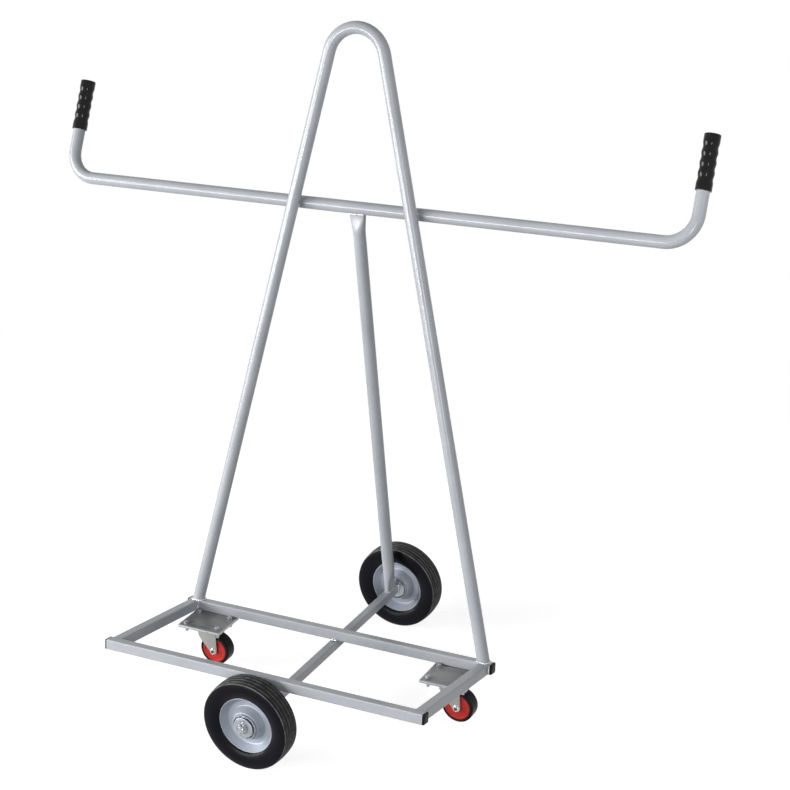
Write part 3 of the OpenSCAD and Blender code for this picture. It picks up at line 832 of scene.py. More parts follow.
    @staticmethod
    def repeat(piece: bpy.types.Object, places: Sequence[Matrix], name: str) -> bpy.types.Object:
        """Copy a piece to several places, each copy with its own mesh, and join the copies.

        Args:
            piece: The model, which is removed.
            places: Where the copies go.
            name: The joined piece's name.

        Returns:
            The joined piece.
        """
        copies = []
        for place in places:
            copy = bpy.data.objects.new(name, piece.data.copy())
            bpy.context.scene.collection.objects.link(copy)
            Workbench.place(copy, place)
            copies.append(copy)
        Workbench.take(copies[0])
        for copy in copies:
            copy.select_set(True)
        bpy.ops.object.join()
        bpy.data.objects.remove(piece)
        copies[0].name = copies[0].data.name = name
        return copies[0]

    @staticmethod
    def hand_over(
        piece: bpy.types.Object,
        body: str,
        finish: Finish,
        nodes: Sequence[str] = (),
        crease_deg: float = 40.0,
    ) -> None:
        """Dress a finished piece and let it ride on its body.

        Args:
            piece: The piece.
            body: The body that carries it.
            finish: Its finish.
            nodes: The CAD nodes that it stands for.
            crease_deg: The angle above which its edges stay sharp.
        """
        Workbench.take(piece)
        bpy.ops.object.shade_smooth_by_angle(angle=math.radians(crease_deg))
        piece.data.materials.clear()
        piece.data.materials.append(material_of(finish))
        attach(piece, body)
        if nodes:
            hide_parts(*nodes)
        LOG.info("%s on %s: %d faces", piece.name, body, len(piece.data.polygons))


# Fittings that several sub-assemblies use


def ease(node: str, body: str, finish: Finish, width: float, segments: int = 2) -> None:
    """Replace a CAD node by a copy whose sharp edges are rounded a little.

    Args:
        node: The node.
        body: The body that carries it.
        finish: Its finish.
        width: The rounding, in millimetres.
        segments: Faces across a rounded edge.
    """
    piece = Workbench.copy_of(node, f"{node}_eased")
    Workbench.round_edges(piece, width, segments)
    Workbench.hand_over(piece, body, finish, [node])


def hex_nut(name: str, flats: float, height: float, bore_r: float) -> bpy.types.Object:
    """Make a nut from a turned, chamfered blank cut by a hexagon.

    Args:
        name: The piece's name.
        flats: Width across the flats, in millimetres.
        height: Height, in millimetres.
        bore_r: The bore's radius, in millimetres.

    Returns:
        The nut, along Y from the origin.
    """
    corner = flats / math.sqrt(3.0)
    chamfer = 0.6 * (corner - flats / 2)
    lead_in, lead_depth, overlap = 0.5, 0.4, 4.0
    trim, margin = 0.2, 0.3
    half = [
        (bore_r, lead_depth, 0.0),
        (bore_r + lead_in, 0.0, 0.0),
        (flats / 2 - trim, 0.0, 0.0),
        (corner + margin, chamfer + trim, 0.0),
    ]
    other = [(radius, height - station, 0.0) for radius, station, _ in reversed(half)]
    piece = Workbench.lathe(name, filleted(half + other), 72)
    Workbench.release()
    bpy.ops.mesh.primitive_cylinder_add(
        vertices=6,
        radius=corner * MM,
        depth=(height + overlap) * MM,
        location=(0.0, height / 2 * MM, 0.0),
        rotation=(math.pi / 2, 0.0, 0.0),
    )
    cutter = Workbench.adopt("hexagon")
    Workbench.modify(piece, "BOOLEAN", operation="INTERSECT", object=cutter, solver="EXACT")
    bpy.data.objects.remove(cutter)
    Workbench.round_edges(piece, width=0.2, degrees=35.0)
    return piece


# Studio


@dataclass(frozen=True)
class Lamp:
    """A soft upright lamp, which faces a point and may show in reflections."""

    name: str
    place: tuple[float, float, float]
    size: tuple[float, float]
    watts: float
    aim: tuple[float, float, float] = (0.0, 0.0, 0.8)
    glossy: bool = True

    def build(self) -> None:
        """Add the lamp."""
        data = bpy.data.lights.new(self.name, "AREA")
        data.shape = "RECTANGLE"
        data.size, data.size_y = self.size
        data.energy = self.watts
        lamp = bpy.data.objects.new(self.name, data)
        lamp.visible_glossy = self.glossy
        bpy.context.scene.collection.objects.link(lamp)
        away = Vector(self.place) - Vector(self.aim)
        lamp.matrix_world = Matrix.Translation(self.place) @ away.to_track_quat("Z", "Y").to_matrix().to_4x4()


@dataclass
class Studio:
    """The photograph's camera and a white room, lit by a softbox at the cart's left and weaker lamps around."""

    eye: tuple[float, float, float] = (2.1109, -3.5550, 2.3960)
    heading_deg: float = 28.2
    pitch_deg: float = 21.57
    roll_deg: float = -2.13
    lens_mm: float = 88.02
    sensor_mm: float = 36.0
    far_clip: float = 100.0
    floor_size: float = 24.0
    floor_grey: float = 0.45
    floor_roughness: float = 0.9
    floor_glow: float = 0.8
    floor_bounce: float = 0.1
    shadow_fade: Span = (1.0, 3.0)
    room_tint: Colour = (0.96, 0.98, 1.0)
    room_light: float = 0.085
    lamps: tuple[Lamp, ...] = (
        Lamp("softbox", (-5.0, -3.1, 1.7), (3.4, 3.0), 360.0),
        Lamp("key", (-2.2, -4.9, 1.2), (3.0, 0.8), 165.0),
        Lamp("strip", (2.85, -4.09, 1.8), (0.2, 1.6), 58.0),
        Lamp("rim", (2.2, -0.4, 1.7), (0.8, 1.0), 17.0, aim=(0.5, 0.2, 1.1), glossy=False),
        Lamp("rear", (-4.2, 7.2, 1.0), (4.0, 1.8), 140.0, glossy=False),
    )

    def camera(self) -> None:
        """Place the camera with its heading, pitch and roll."""
        data = bpy.data.cameras.new("photo_camera")
        data.lens = self.lens_mm
        data.sensor_width = self.sensor_mm
        data.clip_end = self.far_clip
        camera = bpy.data.objects.new("photo_camera", data)
        bpy.context.scene.collection.objects.link(camera)
        turn = Matrix.Rotation(math.radians(self.heading_deg), 4, "Z")
        tilt = Matrix.Rotation(math.radians(90.0 - self.pitch_deg), 4, "X")
        roll = Matrix.Rotation(math.radians(self.roll_deg), 4, "Z")
        camera.matrix_world = Matrix.Translation(self.eye) @ turn @ tilt @ roll
        bpy.context.scene.camera = camera

    def room(self) -> None:
        """Add the floor and a world that is white to the camera and in reflections."""
        bpy.context.scene.view_settings.view_transform = "Standard"
        Workbench.release()
        bpy.ops.mesh.primitive_plane_add(size=self.floor_size, location=(0.0, 0.0, 0.0))
        floor = bpy.context.object
        floor.name = "floor"
        floor.data.materials.append(self._floor_white())
        bpy.context.scene.world = self._white_world()

    def _floor_white(self) -> bpy.types.Material:
        """Make the floor's white: glowing paint to the camera, white in reflections and dull as a bounce.

        Returns:
            The material.
        """
        graph = Graph(bpy.data.materials.new("floor_white"))
        graph.shade(Base_Color=(*(self.floor_grey,) * 3, 1.0), Roughness=self.floor_roughness)
        paint = Wire(graph, graph.shader.outputs[0])
        dull = graph.add("ShaderNodeBsdfDiffuse", None, {"Color": (*(self.floor_bounce,) * 3, 1.0)})
        white = graph.add("ShaderNodeEmission")
        glow = graph.add("ShaderNodeEmission", None, {"Strength": self.floor_glow})
        lit = graph.add("ShaderNodeAddShader", None, {0: paint, 1: glow})
        away = graph.add("ShaderNodeVectorMath", {"operation": "LENGTH"}, {0: graph.place}, "Value")
        shown = graph.blend(away.step(*self.shadow_fade), lit, white)
        seen = graph.blend(graph.rays("Camera"), dull, shown)
        graph.feed(graph.output.inputs[0], graph.blend(graph.rays("Glossy", "Transmission"), seen, white))
        return graph.owner

    def _white_world(self) -> bpy.types.World:
        """Make a world that is white where it is seen and a grey light elsewhere.

        Returns:
            The world.
        """
        graph = Graph(bpy.data.worlds.new("white_room"))
        white = graph.add("ShaderNodeBackground", None, {"Color": (1.0, 1.0, 1.0, 1.0), "Strength": 1.0})
        graph.shade(Color=(*self.room_tint, 1.0), Strength=self.room_light)
        dim = Wire(graph, graph.shader.outputs[0])
        seen = graph.rays("Camera", "Glossy", "Transmission")
        graph.feed(graph.output.inputs[0], graph.blend(seen, dim, white))
        return graph.owner

    def build(self) -> None:
        """Set up camera, room and lamps."""
        self.camera()
        self.room()
        for lamp in self.lamps:
            lamp.build()


# Sub-assemblies


@dataclass
class LargeWheel:
    """A rubber-tyred wheel on a pressed two-part rim."""

    end: End
    tyre_r: float = 110.0
    crown_r: float = 160.0
    sidewall_mid: float = 92.0
    sidewall_r: float = 45.0
    sidewall_stops: tuple[float, ...] = (71.2, 74.0, 77.0, 80.0, 84.0, 88.0, 92.0, 96.0, 100.0, 103.5, 106.2)
    half_width: float = 27.5
    shoulder: float = 24.5
    shoulder_lift: float = 0.15
    tread_edge: float = 21.0
    groove_w: float = 1.8
    groove_depth: float = 2.4
    rib_stop: float = 5.0
    well_r: float = 57.3
    seat_r: float = 69.25
    seat: Span = (17.2, 20.6)
    lip_r: float = 69.1
    lip_w: float = 2.5
    lip_station: float = 19.1
    lip_proud: float = 0.9
    lip_flare: float = 0.7
    lip_foot: float = 1.4
    sheet: float = 2.0
    half_gap: float = 0.05
    floor_in: float = 42.0
    floor_out: float = 55.0
    boss_in: float = 30.6
    boss_out: float = 33.6
    boss_reach: float = 22.0
    # The seal's black also stands for the shadow in the gap between the washer and the hub, as painted shade.
    shade_seal_section: tuple[Corner, ...] = (
        (25.6, 23.65, 0.2),
        (27.93, 23.65, 0.0),
        (27.93, 26.5, 0.4),
        (27.0, 26.5, 0.4),
        (25.9, 24.2, 0.4),
    )
    steps: int = 128
    shade_seal_steps: int = 72
    crease_deg: float = 50.0

    @property
    def body(self) -> str:
        """The body that the wheel's pieces ride on."""
        return f"{self.end.word}_wheel"

    @property
    def spot(self) -> Matrix:
        """Where the wheel stands, with its outer side away from the cart."""
        place = at(0.0, self.end.value * WHEEL_TRACK_Y, WHEEL_AXLE_Z)
        return place if self.end is End.REAR else place @ HALF_TURN

    def _tread_r(self, station: float) -> float:
        """The crowned tread's radius at a station."""
        return self.tyre_r - self.crown_r + math.sqrt(self.crown_r**2 - station**2)

    def _half_section(self) -> list[Corner]:
        """Give the corners of half the tyre's section, from the seat over the sidewall to the tread's middle.

        Returns:
            The corners, the first of them in the wheel's middle plane.
        """
        corners = [(self.well_r, 0.0, 0.0), (self.seat_r, self.seat[0], 0.0), (self.seat_r, self.seat[1], 0.7)]
        for radius in self.sidewall_stops:
            bulge = math.sqrt(self.sidewall_r**2 - (radius - self.sidewall_mid) ** 2)
            corners.append((radius, self.half_width - self.sidewall_r + bulge, 0.0))
        corners.append((self._tread_r(self.shoulder) + self.shoulder_lift, self.shoulder, 1.3))
        corners.append((self._tread_r(self.tread_edge), self.tread_edge, 0.0))
        for lane in (1.5, 0.5):
            middle = lane * GROOVE_PITCH
            outer, inner = middle + self.groove_w / 2, middle - self.groove_w / 2
            rib = middle - self.rib_stop
            deep = self._tread_r(middle) - self.groove_depth
            corners += [(self._tread_r(outer), outer, 0.4), (deep, outer, 0.5), (deep, inner, 0.5)]
            corners += [(self._tread_r(inner), inner, 0.4), (self._tread_r(rib), rib, 0.0)]
        return corners

    def tyre(self) -> None:
        """Turn the tyre with its grooved tread."""
        half = self._half_section()
        outline = filleted(half + mirrored(half[1:]), 3)
        piece = Workbench.lathe(f"{self.end.word}_tyre_rubber", outline, self.steps)
        Workbench.place(piece, self.spot)
        Workbench.hand_over(piece, self.body, TYRE, [f"{self.end.word}_tyre"], self.crease_deg)

    def rims(self) -> None:
        """Press the two rim halves, with rolled lips and rounded folds."""
        lip, sheet = self.lip_station, self.sheet
        corners = [
            (self.boss_in, self.boss_reach, 0.0),
            (self.boss_out, self.boss_reach, 2.2),
            (self.floor_in, sheet, 4.0),
            (self.floor_out, sheet, 5.0),
            (self.lip_r - self.lip_w - self.lip_flare, lip - self.lip_foot, 1.0),
            (self.lip_r - self.lip_w, lip + self.lip_proud, 1.2),
            (self.lip_r, lip + self.lip_proud, 1.2),
            (self.lip_r, lip - sheet, 1.0),
            (self.floor_out + sheet, self.half_gap, 5.0),
            (self.floor_in - sheet, self.half_gap, 4.0),
            (self.boss_out - sheet, self.boss_reach - sheet, 0.8),
            (self.boss_in, self.boss_reach - sheet, 0.0),
        ]
        for half, turn in (("outer", Matrix.Identity(4)), ("inner", HALF_TURN)):
            name = f"{self.end.word}_rim_{half}"
            piece = Workbench.lathe(f"{name}_pressing", filleted(corners, 6), self.steps)
            Workbench.place(piece, self.spot @ turn)
            Workbench.hand_over(piece, self.body, RIM_PAINT, [name], self.crease_deg)

    def seals(self) -> None:
        """Press a black dustproof seal into each end of the hub; its black is also painted shade, standing for
        the shadow in the gap between the washer and the hub.
        """
        model = Workbench.lathe("seal", filleted(self.shade_seal_section, 3), self.shade_seal_steps)
        piece = Workbench.repeat(model, [self.spot, self.spot @ HALF_TURN], f"{self.end.word}_hub_seals")
        Workbench.hand_over(piece, self.body, TREAD)

    def build(self) -> None:
        """Make the tyre, the rim and the black hub seal rings, which also darken the hub's gap as painted shade.
        """
        self.tyre()
        self.rims()
        self.seals()


@dataclass
class Caster:
    """A swivel caster with a red wheel core and a black tread."""

    side: Side
    trail: float = 22.0
    axle_z: float = 52.0
    wheel_r: float = 40.0
    core_r: float = 32.0
    core_gap: float = 0.05
    half_width: float = 16.0
    bore_r: float = 6.6
    bore_lead: float = 0.8
    hub_r: float = 12.5
    hub_slope: float = 0.8
    web: float = 15.0
    rim_t: float = 4.5
    rim_slope: float = 0.6
    tread_drop: float = 0.9
    tread_shoulder: float = 4.5
    bend_r: float = 4.2
    bend_rad: float = 1.0
    cut_edge: float = 0.35
    kingpin_clear: float = 12.0
    near: float = 0.05
    nut_flats: float = 13.0
    nut_bore_r: float = 4.1
    washer_r: float = 8.4
    washer_t: float = 1.2
    washer_steps: int = 48
    steps: int = 96
    crease_deg: float = 50.0

    @property
    def body(self) -> str:
        """The body that swivels."""
        return f"{self.side.word}_caster"

    @property
    def kingpin_x(self) -> float:
        """The kingpin's place along the cart."""
        return self.side.value * CASTER_SPAN / 2

    def _on_axle(self, station: float) -> Matrix:
        """A move to a place on the wheel's axle, given by its Y."""
        return at(self.kingpin_x + self.trail, station, self.axle_z)

    def wheel(self) -> None:
        """Turn the core, with a recessed web, and the tread around it."""
        half, inner = self.half_width, self.core_r - self.rim_t
        face = [
            (self.bore_r, half - self.bore_lead, 0.0),
            (self.bore_r + self.bore_lead, half, 0.0),
            (self.hub_r, half, 0.5),
            (self.hub_r + self.hub_slope, self.web, 0.6),
            (inner - self.rim_slope, self.web, 0.6),
            (inner, half, 0.5),
            (self.core_r, half, 0.5),
        ]
        core = Workbench.lathe(f"{self.side.word}_red_core", filleted(face + mirrored(face), 4), self.steps)
        seat, top, low = self.core_r + self.core_gap, self.wheel_r, self.wheel_r - self.tread_drop
        edge = [(seat, half, 0.6), (low, half, 2.2), (top, half - self.tread_shoulder, 6.0)]
        back = mirrored(edge)
        tread = Workbench.lathe(
            f"{self.side.word}_tread_band", filleted(back[-1:] + edge + back[:-1], 5), self.steps
        )
        for piece, finish, part in ((core, RED_CORE, "core"), (tread, TREAD, "tread")):
            Workbench.place(piece, self._on_axle(KINGPIN_Y))
            Workbench.hand_over(piece, f"{self.body}_wheel", finish, [f"{self.body}_{part}"], self.crease_deg)

    def fork(self) -> None:
        """Round the bends of the fork's crown and ease its cut edges."""
        node = f"{self.side.word}_fork"
        piece = Workbench.copy_of(node, f"{node}_pressing")
        high = Vector(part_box(node)[1]) / MM
        kingpin = Vector((self.kingpin_x, KINGPIN_Y))

        def on_rim(place: Vector) -> bool:
            """Whether a point lies on the crown's upper rim, away from the kingpin."""
            return abs(place.z - high.z) < self.near and (place.to_2d() - kingpin).length > self.kingpin_clear

        def on_bend(edge: bmesh.types.BMEdge) -> bool:
            """Find the edges along the crown's upper rim, away from the kingpin and the open end.

            Args:
                edge: The edge.

            Returns:
                Whether the edge is one of them.
            """
            ends = [vert.co / MM for vert in edge.verts]
            if len(edge.link_faces) != 2 or not all(on_rim(place) for place in ends):
                return False
            on_side = any(high.x - place.x > self.near for place in ends)
            return on_side and edge.calc_face_angle() > self.bend_rad

        with Workbench.editing(piece, "EDGE"):
            Workbench.join_flats(degrees=1.0)
            Workbench.choose(piece, "edges", on_bend)
            bpy.ops.mesh.bevel(offset=self.bend_r * MM, segments=5, affect="EDGES")
        Workbench.round_edges(piece, self.cut_edge)
        Workbench.hand_over(piece, self.body, FORK_ZINC, [node])

    def eased(self) -> None:
        """Ease the edges of the plate, the kingpin and the axle bolt."""
        ease(f"{self.body}_plate", "frame", ZINC, width=0.5)
        ease(f"{self.side.word}_kingpin", "frame", ZINC, width=0.6)
        ease(f"{self.body}_axle", self.body, DARK_STEEL, width=0.5)

    def nut(self) -> None:
        """Fit a washer and a chamfered nut on the axle bolt."""
        node = f"{self.body}_axle_nut"
        low, high = (Vector(corner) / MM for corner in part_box(node))
        bore, rim, thick = self.nut_bore_r, self.washer_r, self.washer_t
        nut = hex_nut(f"{node}_hex", self.nut_flats, high.y - thick - low.y, bore)
        ring = [(bore, -thick, 0.0), (rim, -thick, 0.3), (rim, 0.0, 0.0), (bore, 0.0, 0.0)]
        washer = Workbench.lathe(f"{self.body}_axle_washer", filleted(ring, 3), self.washer_steps)
        for piece, station, nodes in ((nut, low.y, [node]), (washer, high.y, [])):
            Workbench.place(piece, self._on_axle(station))
            Workbench.hand_over(piece, self.body, BRIGHT_ZINC, nodes, crease_deg=30.0)

    def build(self) -> None:
        """Make the wheel, the fork and the small parts."""
        self.wheel()
        self.fork()
        self.eased()
        self.nut()


@dataclass
class CasterMounts:
    """The plates below the rear rail, with their studs, washers and nuts."""

    pitch_x: float = 90.0
    pitch_y: float = 61.0
    nut_flats: float = 12.8
    stud_r: float = 4.0
    turn_seed: int = 4

    def nuts(self) -> None:
        """Fit eight chamfered nuts, each turned a little differently."""
        low, high = (Vector(corner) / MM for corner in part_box("caster_stud_nuts"))
        model = hex_nut("stud_nut", self.nut_flats, high.z - low.z, self.stud_r)
        upright = Matrix.Rotation(math.pi / 2, 4, "X")
        draw = random.Random(self.turn_seed)
        places = []
        for side, x, y in product(Side, (-0.5, 0.5), (-0.5, 0.5)):
            spot = at(side.value * CASTER_SPAN / 2 + x * self.pitch_x, KINGPIN_Y + y * self.pitch_y, low.z)
            turn = Matrix.Rotation(draw.uniform(0.0, math.pi / 3), 4, "Z")
            places.append(spot @ turn @ upright)
        piece = Workbench.repeat(model, places, "caster_stud_hex_nuts")
        Workbench.hand_over(piece, "frame", ZINC, ["caster_stud_nuts"], crease_deg=30.0)

    def build(self) -> None:
        """Ease the plates' edges and fit the fasteners."""
        for side in Side:
            ease(f"{side.word}_caster_mount", "frame", PLATE_PAINT, width=0.7)
        ease("caster_stud_washers", "frame", ZINC, width=0.3)
        ease("caster_studs", "frame", ZINC, width=0.6)
        self.nuts()


@dataclass
class Hubs:
    """The washers and castle nuts that hold the large wheels."""

    outer_edge: float = 0.9
    inner_edge: float = 0.6
    nut_edge: float = 0.45

    def build(self) -> None:
        """Ease the washers' and nuts' edges."""
        ease("hub_outer_washers", "frame", ZINC, self.outer_edge, 3)
        ease("hub_inner_washers", "frame", ZINC, self.inner_edge)
        ease("castle_nuts", "frame", ZINC, self.nut_edge)


@dataclass
class EndCaps:
    """Black plastic caps in the ends of the two long rails."""

    rail: float = 25.0
    corner: float = 3.0
    flange: float = 3.6
    pad: float = 1.2
    pad_inset: float = 2.2
    plug: float = 12.0
    wall: float = 2.1
    edge: float = 0.8
    reach: float = 422.25
    rows: tuple[float, float] = (-12.5, -365.0)

    def model(self) -> bpy.types.Object:
        """Shape one cap, with its plug along -X and its face along +X.

        Returns:
            The cap, with the rail's end at the origin.
        """
        Workbench.release()
        bpy.ops.mesh.primitive_cube_add(size=1.0, location=(self.flange / 2 * MM, 0.0, 0.0))
        bpy.ops.transform.resize(value=(self.flange * MM, self.rail * MM, self.rail * MM))
        piece = Workbench.adopt("end_cap")
        with Workbench.editing(piece, "EDGE"):
            Workbench.choose(piece, "edges", lambda e: abs((e.verts[0].co - e.verts[1].co).x) > MM)
            bpy.ops.mesh.bevel(offset=self.corner * MM, segments=5, affect="EDGES")
            bpy.ops.mesh.select_mode(type="FACE")
            Workbench.choose(piece, "faces", lambda f: f.normal.x < -0.9)
            bpy.ops.mesh.inset(thickness=self.wall * MM)
            Workbench.extrude(-self.plug, 0.0, 0.0)
            Workbench.choose(piece, "faces", lambda f: f.normal.x > 0.9)
            bpy.ops.mesh.inset(thickness=self.pad_inset * MM)
            Workbench.extrude(self.pad, 0.0, 0.0)
        Workbench.round_edges(piece, self.edge, 3)
        return piece

    def build(self) -> None:
        """Put a cap in each rail end."""
        model = self.model()
        lean = Matrix.Rotation(-math.radians(FRAME_LEAN_DEG), 4, "X")
        end_x = self.reach - self.flange - self.pad
        places = []
        for side, row in product(Side, self.rows):
            face = Matrix.Identity(4) if side is Side.RIGHT else HALF_TURN
            spot = in_frame(side.value * end_x, row, self.rail / 2)
            places.append(Matrix.Translation(spot) @ lean @ face)
        piece = Workbench.repeat(model, places, "rail_cap_mouldings")
        Workbench.hand_over(piece, "frame", CAP, ["rail_end_caps"])


@dataclass
class Grip:
    """A black handle grip with four finger grooves round it."""

    side: Side
    handle_x: float = 818.25
    axis: tuple[float, float, float] = (0.0, 0.4524, 0.8918)
    top: float = 243.0
    length: float = 124.5
    grip_r: float = 18.5
    bore_r: float = 15.05
    lip_r: float = 18.6
    lip: Span = (2.5, 4.0)
    end_t: float = 3.0
    pole_r: float = 0.01
    dome: float = 0.02
    first_row: float = 29.0
    row_pitch: float = 22.8
    rows: int = 4
    groove_depth: float = 1.7
    stops: int = 96
    steps: int = 64

    def _radius(self, station: float) -> float:
        """The grip's radius at a distance from its foot.

        Args:
            station: The distance from the foot.

        Returns:
            The radius, less where a finger groove runs round.
        """
        turns = (self.length - station - self.first_row) / self.row_pitch
        if turns < -0.5 or turns > self.rows - 0.5:
            return self.grip_r
        return self.grip_r - self.groove_depth * 0.5 * (1.0 + math.cos(math.tau * turns))

    def _outline(self) -> list[tuple[float, float]]:
        """Give the grip's section from the bore round its outside, with closely spaced points along it.

        Returns:
            The section's points.
        """
        lip_low, lip_high = self.lip
        corners = [
            (self.bore_r, 0.0, 0.0),
            (self.lip_r, 0.0, 0.8),
            (self.lip_r, lip_low, 0.8),
            (self.grip_r, lip_high, 0.5),
        ]
        run = self.length - lip_high
        stations = [lip_high + run * step / self.stops for step in range(1, self.stops - 2)]
        corners += [(self._radius(station), station, 0.0) for station in stations]
        corners += [
            (self.grip_r, self.length, 2.2),
            (self.pole_r, self.length + self.dome, 0.0),
            (self.pole_r, self.length - self.end_t, 0.0),
            (self.bore_r, self.length - self.end_t, 0.0),
        ]
        return filleted(corners, 4)

    def build(self) -> None:
        """Turn the grip and slide it on its handle."""
        piece = Workbench.lathe(f"{self.side.word}_grip_moulding", self._outline(), self.steps)
        axis = Vector(self.axis).normalized()
        bar = Vector((self.side.value * self.handle_x, BAR_Y, BAR_Z))
        foot = bar + axis * (self.top - self.length)
        turn = Vector((0.0, 1.0, 0.0)).rotation_difference(axis).to_matrix().to_4x4()
        Workbench.place(piece, Matrix.Translation(foot * MM) @ turn)
        Workbench.hand_over(piece, "frame", GRIP, [f"{self.side.word}_grip"], crease_deg=60.0)


@dataclass
class Strut:
    """The round strut with its two flattened ends."""

    foot: tuple[float, float, float] = (0.0, 317.5, 120.0)
    head: tuple[float, float, float] = (0.0, BAR_Y, BAR_Z)
    tube_r: float = 15.0
    flat_w: float = 41.0
    flat_t: float = 11.0
    flat: float = 11.0
    taper: float = 54.0
    taper_steps: int = 10
    widening: float = 1.6
    flattening: float = 1.25
    points: int = 48

    def _section(self, angle: float, squeeze: float, turned: bool) -> tuple[float, float]:
        """A point on the tube's section, between round and flattened.

        Args:
            angle: The point's angle.
            squeeze: 0 for round and 1 for flat.
            turned: Whether the flat lies along the second axis.

        Returns:
            The point's two coordinates, in millimetres.
        """
        end_r = self.flat_t / 2
        run = self.flat_w / 2 - end_r
        along, over = math.cos(angle), math.sin(angle)
        if turned:
            along, over = over, along
        wide = along * end_r + run * max(-1.0, min(1.0, along * self.widening))
        thin = max(-end_r, min(end_r, over * end_r * self.flattening))
        wide = (1 - squeeze) * along * self.tube_r + squeeze * wide
        thin = (1 - squeeze) * over * self.tube_r + squeeze * thin
        return (thin, wide) if turned else (wide, thin)

    def build(self) -> None:
        """Extrude a ring along the strut and flatten both ends."""
        foot, head = Vector(self.foot), Vector(self.head)
        length = (head - foot).length
        stations = [0.0, self.flat]
        stations += [self.flat + self.taper * k / self.taper_steps for k in range(1, self.taper_steps + 1)]
        stations += [length - station for station in reversed(stations)]
        Workbench.release()
        bpy.ops.mesh.primitive_circle_add(vertices=self.points, radius=self.tube_r * MM, fill_type="NGON")
        piece = Workbench.adopt("rear_strut_tube")
        with Workbench.editing(piece):
            bpy.ops.mesh.select_all(action="SELECT")
            for before, after in pairwise(stations):
                Workbench.extrude(0.0, 0.0, after - before)
            Workbench.mend()
        for vert in piece.data.vertices:
            station = vert.co.z / MM
            near = min(station, length - station)
            ease_in = min(max((near - self.flat) / self.taper, 0.0), 1.0)
            squeeze = 1.0 - ease_in * ease_in * (3.0 - 2.0 * ease_in)
            angle = math.atan2(vert.co.y, vert.co.x)
            x, y = self._section(angle, squeeze, station < length / 2)
            vert.co.x, vert.co.y = x * MM, y * MM
        turn = Vector((0.0, 0.0, 1.0)).rotation_difference(head - foot).to_matrix().to_4x4()
        Workbench.place(piece, Matrix.Translation(foot * MM) @ turn)
        Workbench.hand_over(piece, "frame", PAINT, ["rear_strut"])


@dataclass
class WeldRun:
    """One run of weld bead along a path, whose ripples wander and vary by shares of the bead's radius."""

    path: list[Vector]
    bead_r: float
    pitch: float = 0.95
    wander: float = 0.25
    spread: Span = (0.75, 1.3)

    def spots(self, draw: random.Random) -> Iterator[tuple[Vector, float]]:
        """Walk along the path from ripple to ripple.

        Args:
            draw: The source of small irregularities.

        Yields:
            The centre of each ripple, and its radius.
        """
        radius = self.bead_r * MM
        for first, last in pairwise(self.path):
            count = max(1, round((last - first).length / (self.pitch * radius)))
            for step in range(count):
                shift = Vector([draw.uniform(-self.wander, self.wander) for _ in range(3)]) * radius
                yield first.lerp(last, step / count) + shift, radius * draw.uniform(*self.spread)


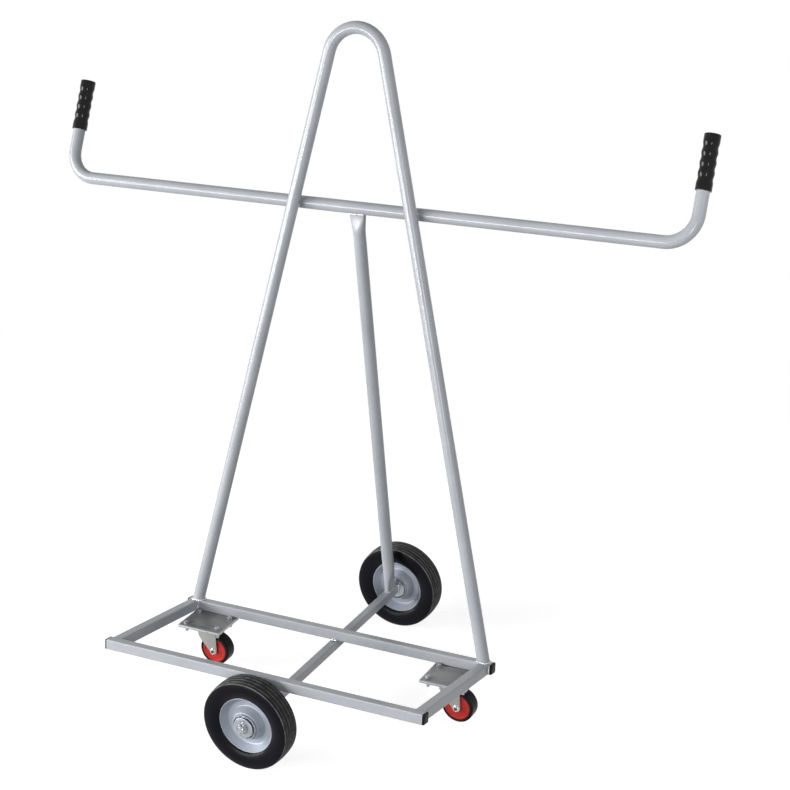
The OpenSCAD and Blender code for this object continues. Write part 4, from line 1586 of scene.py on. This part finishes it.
@dataclass
class Welds:
    """The painted weld beads at the joints of the tubes."""

    voxel: float = 0.75
    foot_x: float = 395.5
    foot_ring: tuple[float, float] = (16.2, 15.6)
    foot_steps: int = 20
    rail_middle: float = -12.5
    rail_half: float = 13.5
    rail_top: float = 25.4
    leg_lean: float = 0.23435
    bar_w: float = 1051.0
    cross_drop: float = 25.0
    cross_half: float = 7.4
    cross_pitch: float = 3.2
    cross_v: float = 2.4
    cross_bow: float = 0.02
    strut_half: float = 6.2
    strut_head: tuple[float, float] = (231.9, 1139.0)
    strut_head_stops: tuple[float, ...] = (-19.0, 0.0, 19.0)
    strut_foot_z: float = 120.9
    strut_foot_stops: tuple[float, ...] = (299.0, 317.0, 336.0)
    cross_tube_rows: tuple[float, float] = (-25.5, -352.0)
    inner_x: float = 389.0
    inner_stops: tuple[float, ...] = (1.0, 12.0, 24.0)
    outer_x: float = 414.9
    outer_stops: tuple[float, ...] = (2.0, 12.0, 23.0)
    axle_rows: tuple[float, float] = (0.6, -25.6)
    axle_stops: tuple[float, ...] = (-9.5, 0.0, 9.5)
    axle_w: float = 0.4
    axle_end_y: float = 343.2
    axle_end: tuple[tuple[float, float], ...] = (
        (-10.0, 100.0),
        (10.0, 100.0),
        (10.0, 120.0),
        (-10.0, 120.0),
        (-10.0, 100.0),
    )

    def _foot_run(self, side: Side) -> WeldRun:
        """Lay the ring round one foot of the mast, kept to the rail's upper face.

        Args:
            side: The foot's side.

        Returns:
            The run.
        """
        points = []
        for step in range(self.foot_steps + 1):
            angle = math.tau * step / self.foot_steps
            x = side.value * self.foot_x + self.foot_ring[0] * math.cos(angle)
            across = min(max(self.foot_ring[1] * math.sin(angle), -self.rail_half), self.rail_half)
            points.append(in_frame(x, self.rail_middle + across, self.rail_top))
        return WeldRun(points, bead_r=2.5)

    def _cross_run(self, side: Side, edge: int) -> WeldRun:
        """Lay one of the two beads where the bar crosses a leg of the mast.

        Args:
            side: The leg's side.
            edge: Which of the two, as a sign along X.

        Returns:
            The run.
        """
        middle = side.value * (self.foot_x - (self.bar_w - self.cross_drop) * self.leg_lean)
        points = []
        for step in range(-3, 4):
            rise = step * self.cross_pitch
            x = middle - side.value * rise * self.leg_lean + edge * self.cross_half
            points.append(in_frame(x, self.cross_v + self.cross_bow * rise * rise, self.bar_w + rise))
        return WeldRun(points, bead_r=2.6)

    def mast_runs(self) -> list[WeldRun]:
        """List the beads at the mast's feet, where the bar crosses it and at the strut's ends.

        Returns:
            The runs.
        """
        runs = []
        for side in Side:
            runs += [self._foot_run(side), self._cross_run(side, -1), self._cross_run(side, 1)]
        head_y, head_z = self.strut_head
        for depth in (-self.strut_half, self.strut_half):
            head = [Vector((x, head_y + depth, head_z)) * MM for x in self.strut_head_stops]
            foot = [Vector((depth, y, self.strut_foot_z)) * MM for y in self.strut_foot_stops]
            runs += [WeldRun(head, bead_r=2.2), WeldRun(foot, bead_r=2.2)]
        return runs

    def base_runs(self) -> list[WeldRun]:
        """List the beads in the base's corners, where the rear rail lies on the axle, and round the axle's ends.

        Returns:
            The runs.
        """
        runs = []
        for side, v in product(Side, self.cross_tube_rows):
            inner = [in_frame(side.value * self.inner_x, v, w) for w in self.inner_stops]
            outer = [in_frame(side.value * self.outer_x, v, w) for w in self.outer_stops]
            runs += [WeldRun(inner, bead_r=2.1), WeldRun(outer, bead_r=1.9)]
        for v in self.axle_rows:
            runs.append(WeldRun([in_frame(x, v, self.axle_w) for x in self.axle_stops], bead_r=2.2))
        for end in End:
            y = end.value * self.axle_end_y
            runs.append(WeldRun([Vector((x, y, z)) * MM for x, z in self.axle_end], bead_r=2.0))
        return runs

    def _melt(self, name: str, runs: Sequence[WeldRun], seed: int) -> None:
        """Set ripples along the runs and melt them into beads.

        Args:
            name: The piece's name.
            runs: The runs.
            seed: The seed of the irregularities.
        """
        draw = random.Random(seed)
        spots = [spot for run in runs for spot in run.spots(draw)]
        Workbench.release()
        bpy.ops.mesh.primitive_ico_sphere_add(subdivisions=2, radius=spots[0][1], location=spots[0][0])
        piece = Workbench.adopt(name)
        with Workbench.editing(piece):
            for place, radius in spots[1:]:
                bpy.ops.mesh.primitive_ico_sphere_add(subdivisions=2, radius=radius, location=place)
        Workbench.modify(piece, "REMESH", mode="VOXEL", voxel_size=self.voxel * MM)
        Workbench.modify(piece, "SMOOTH", factor=0.5, iterations=2)
        Workbench.hand_over(piece, "frame", WELD, crease_deg=180.0)

    def build(self) -> None:
        """Lay the beads of the mast and of the base."""
        self._melt("mast_weld_beads", self.mast_runs(), seed=11)
        self._melt("base_weld_beads", self.base_runs(), seed=12)


def dress_nodes() -> None:
    """Give every CAD node the finish of its material slot."""
    choices = (PAINT, RIM_PAINT, PLATE_PAINT, ZINC, STEEL, TYRE, TREAD, GRIP, CAP, RED_CORE)
    finishes = {finish.slot: material_of(finish) for finish in choices}
    for part in frame["record"]["subparts"]:
        node = frame["nodes"][part["node"]]
        node.data.materials.clear()
        node.data.materials.append(finishes[part["material_slot"]])


def main() -> None:
    """Build the scene in order."""
    logging.basicConfig(level=logging.INFO, format="%(message)s")
    Studio().build()
    dress_nodes()
    for end in End:
        LargeWheel(end).build()
    for side in Side:
        Caster(side).build()
        Grip(side).build()
    CasterMounts().build()
    Hubs().build()
    EndCaps().build()
    Strut().build()
    Welds().build()


if __name__ == "__main__":
    main()
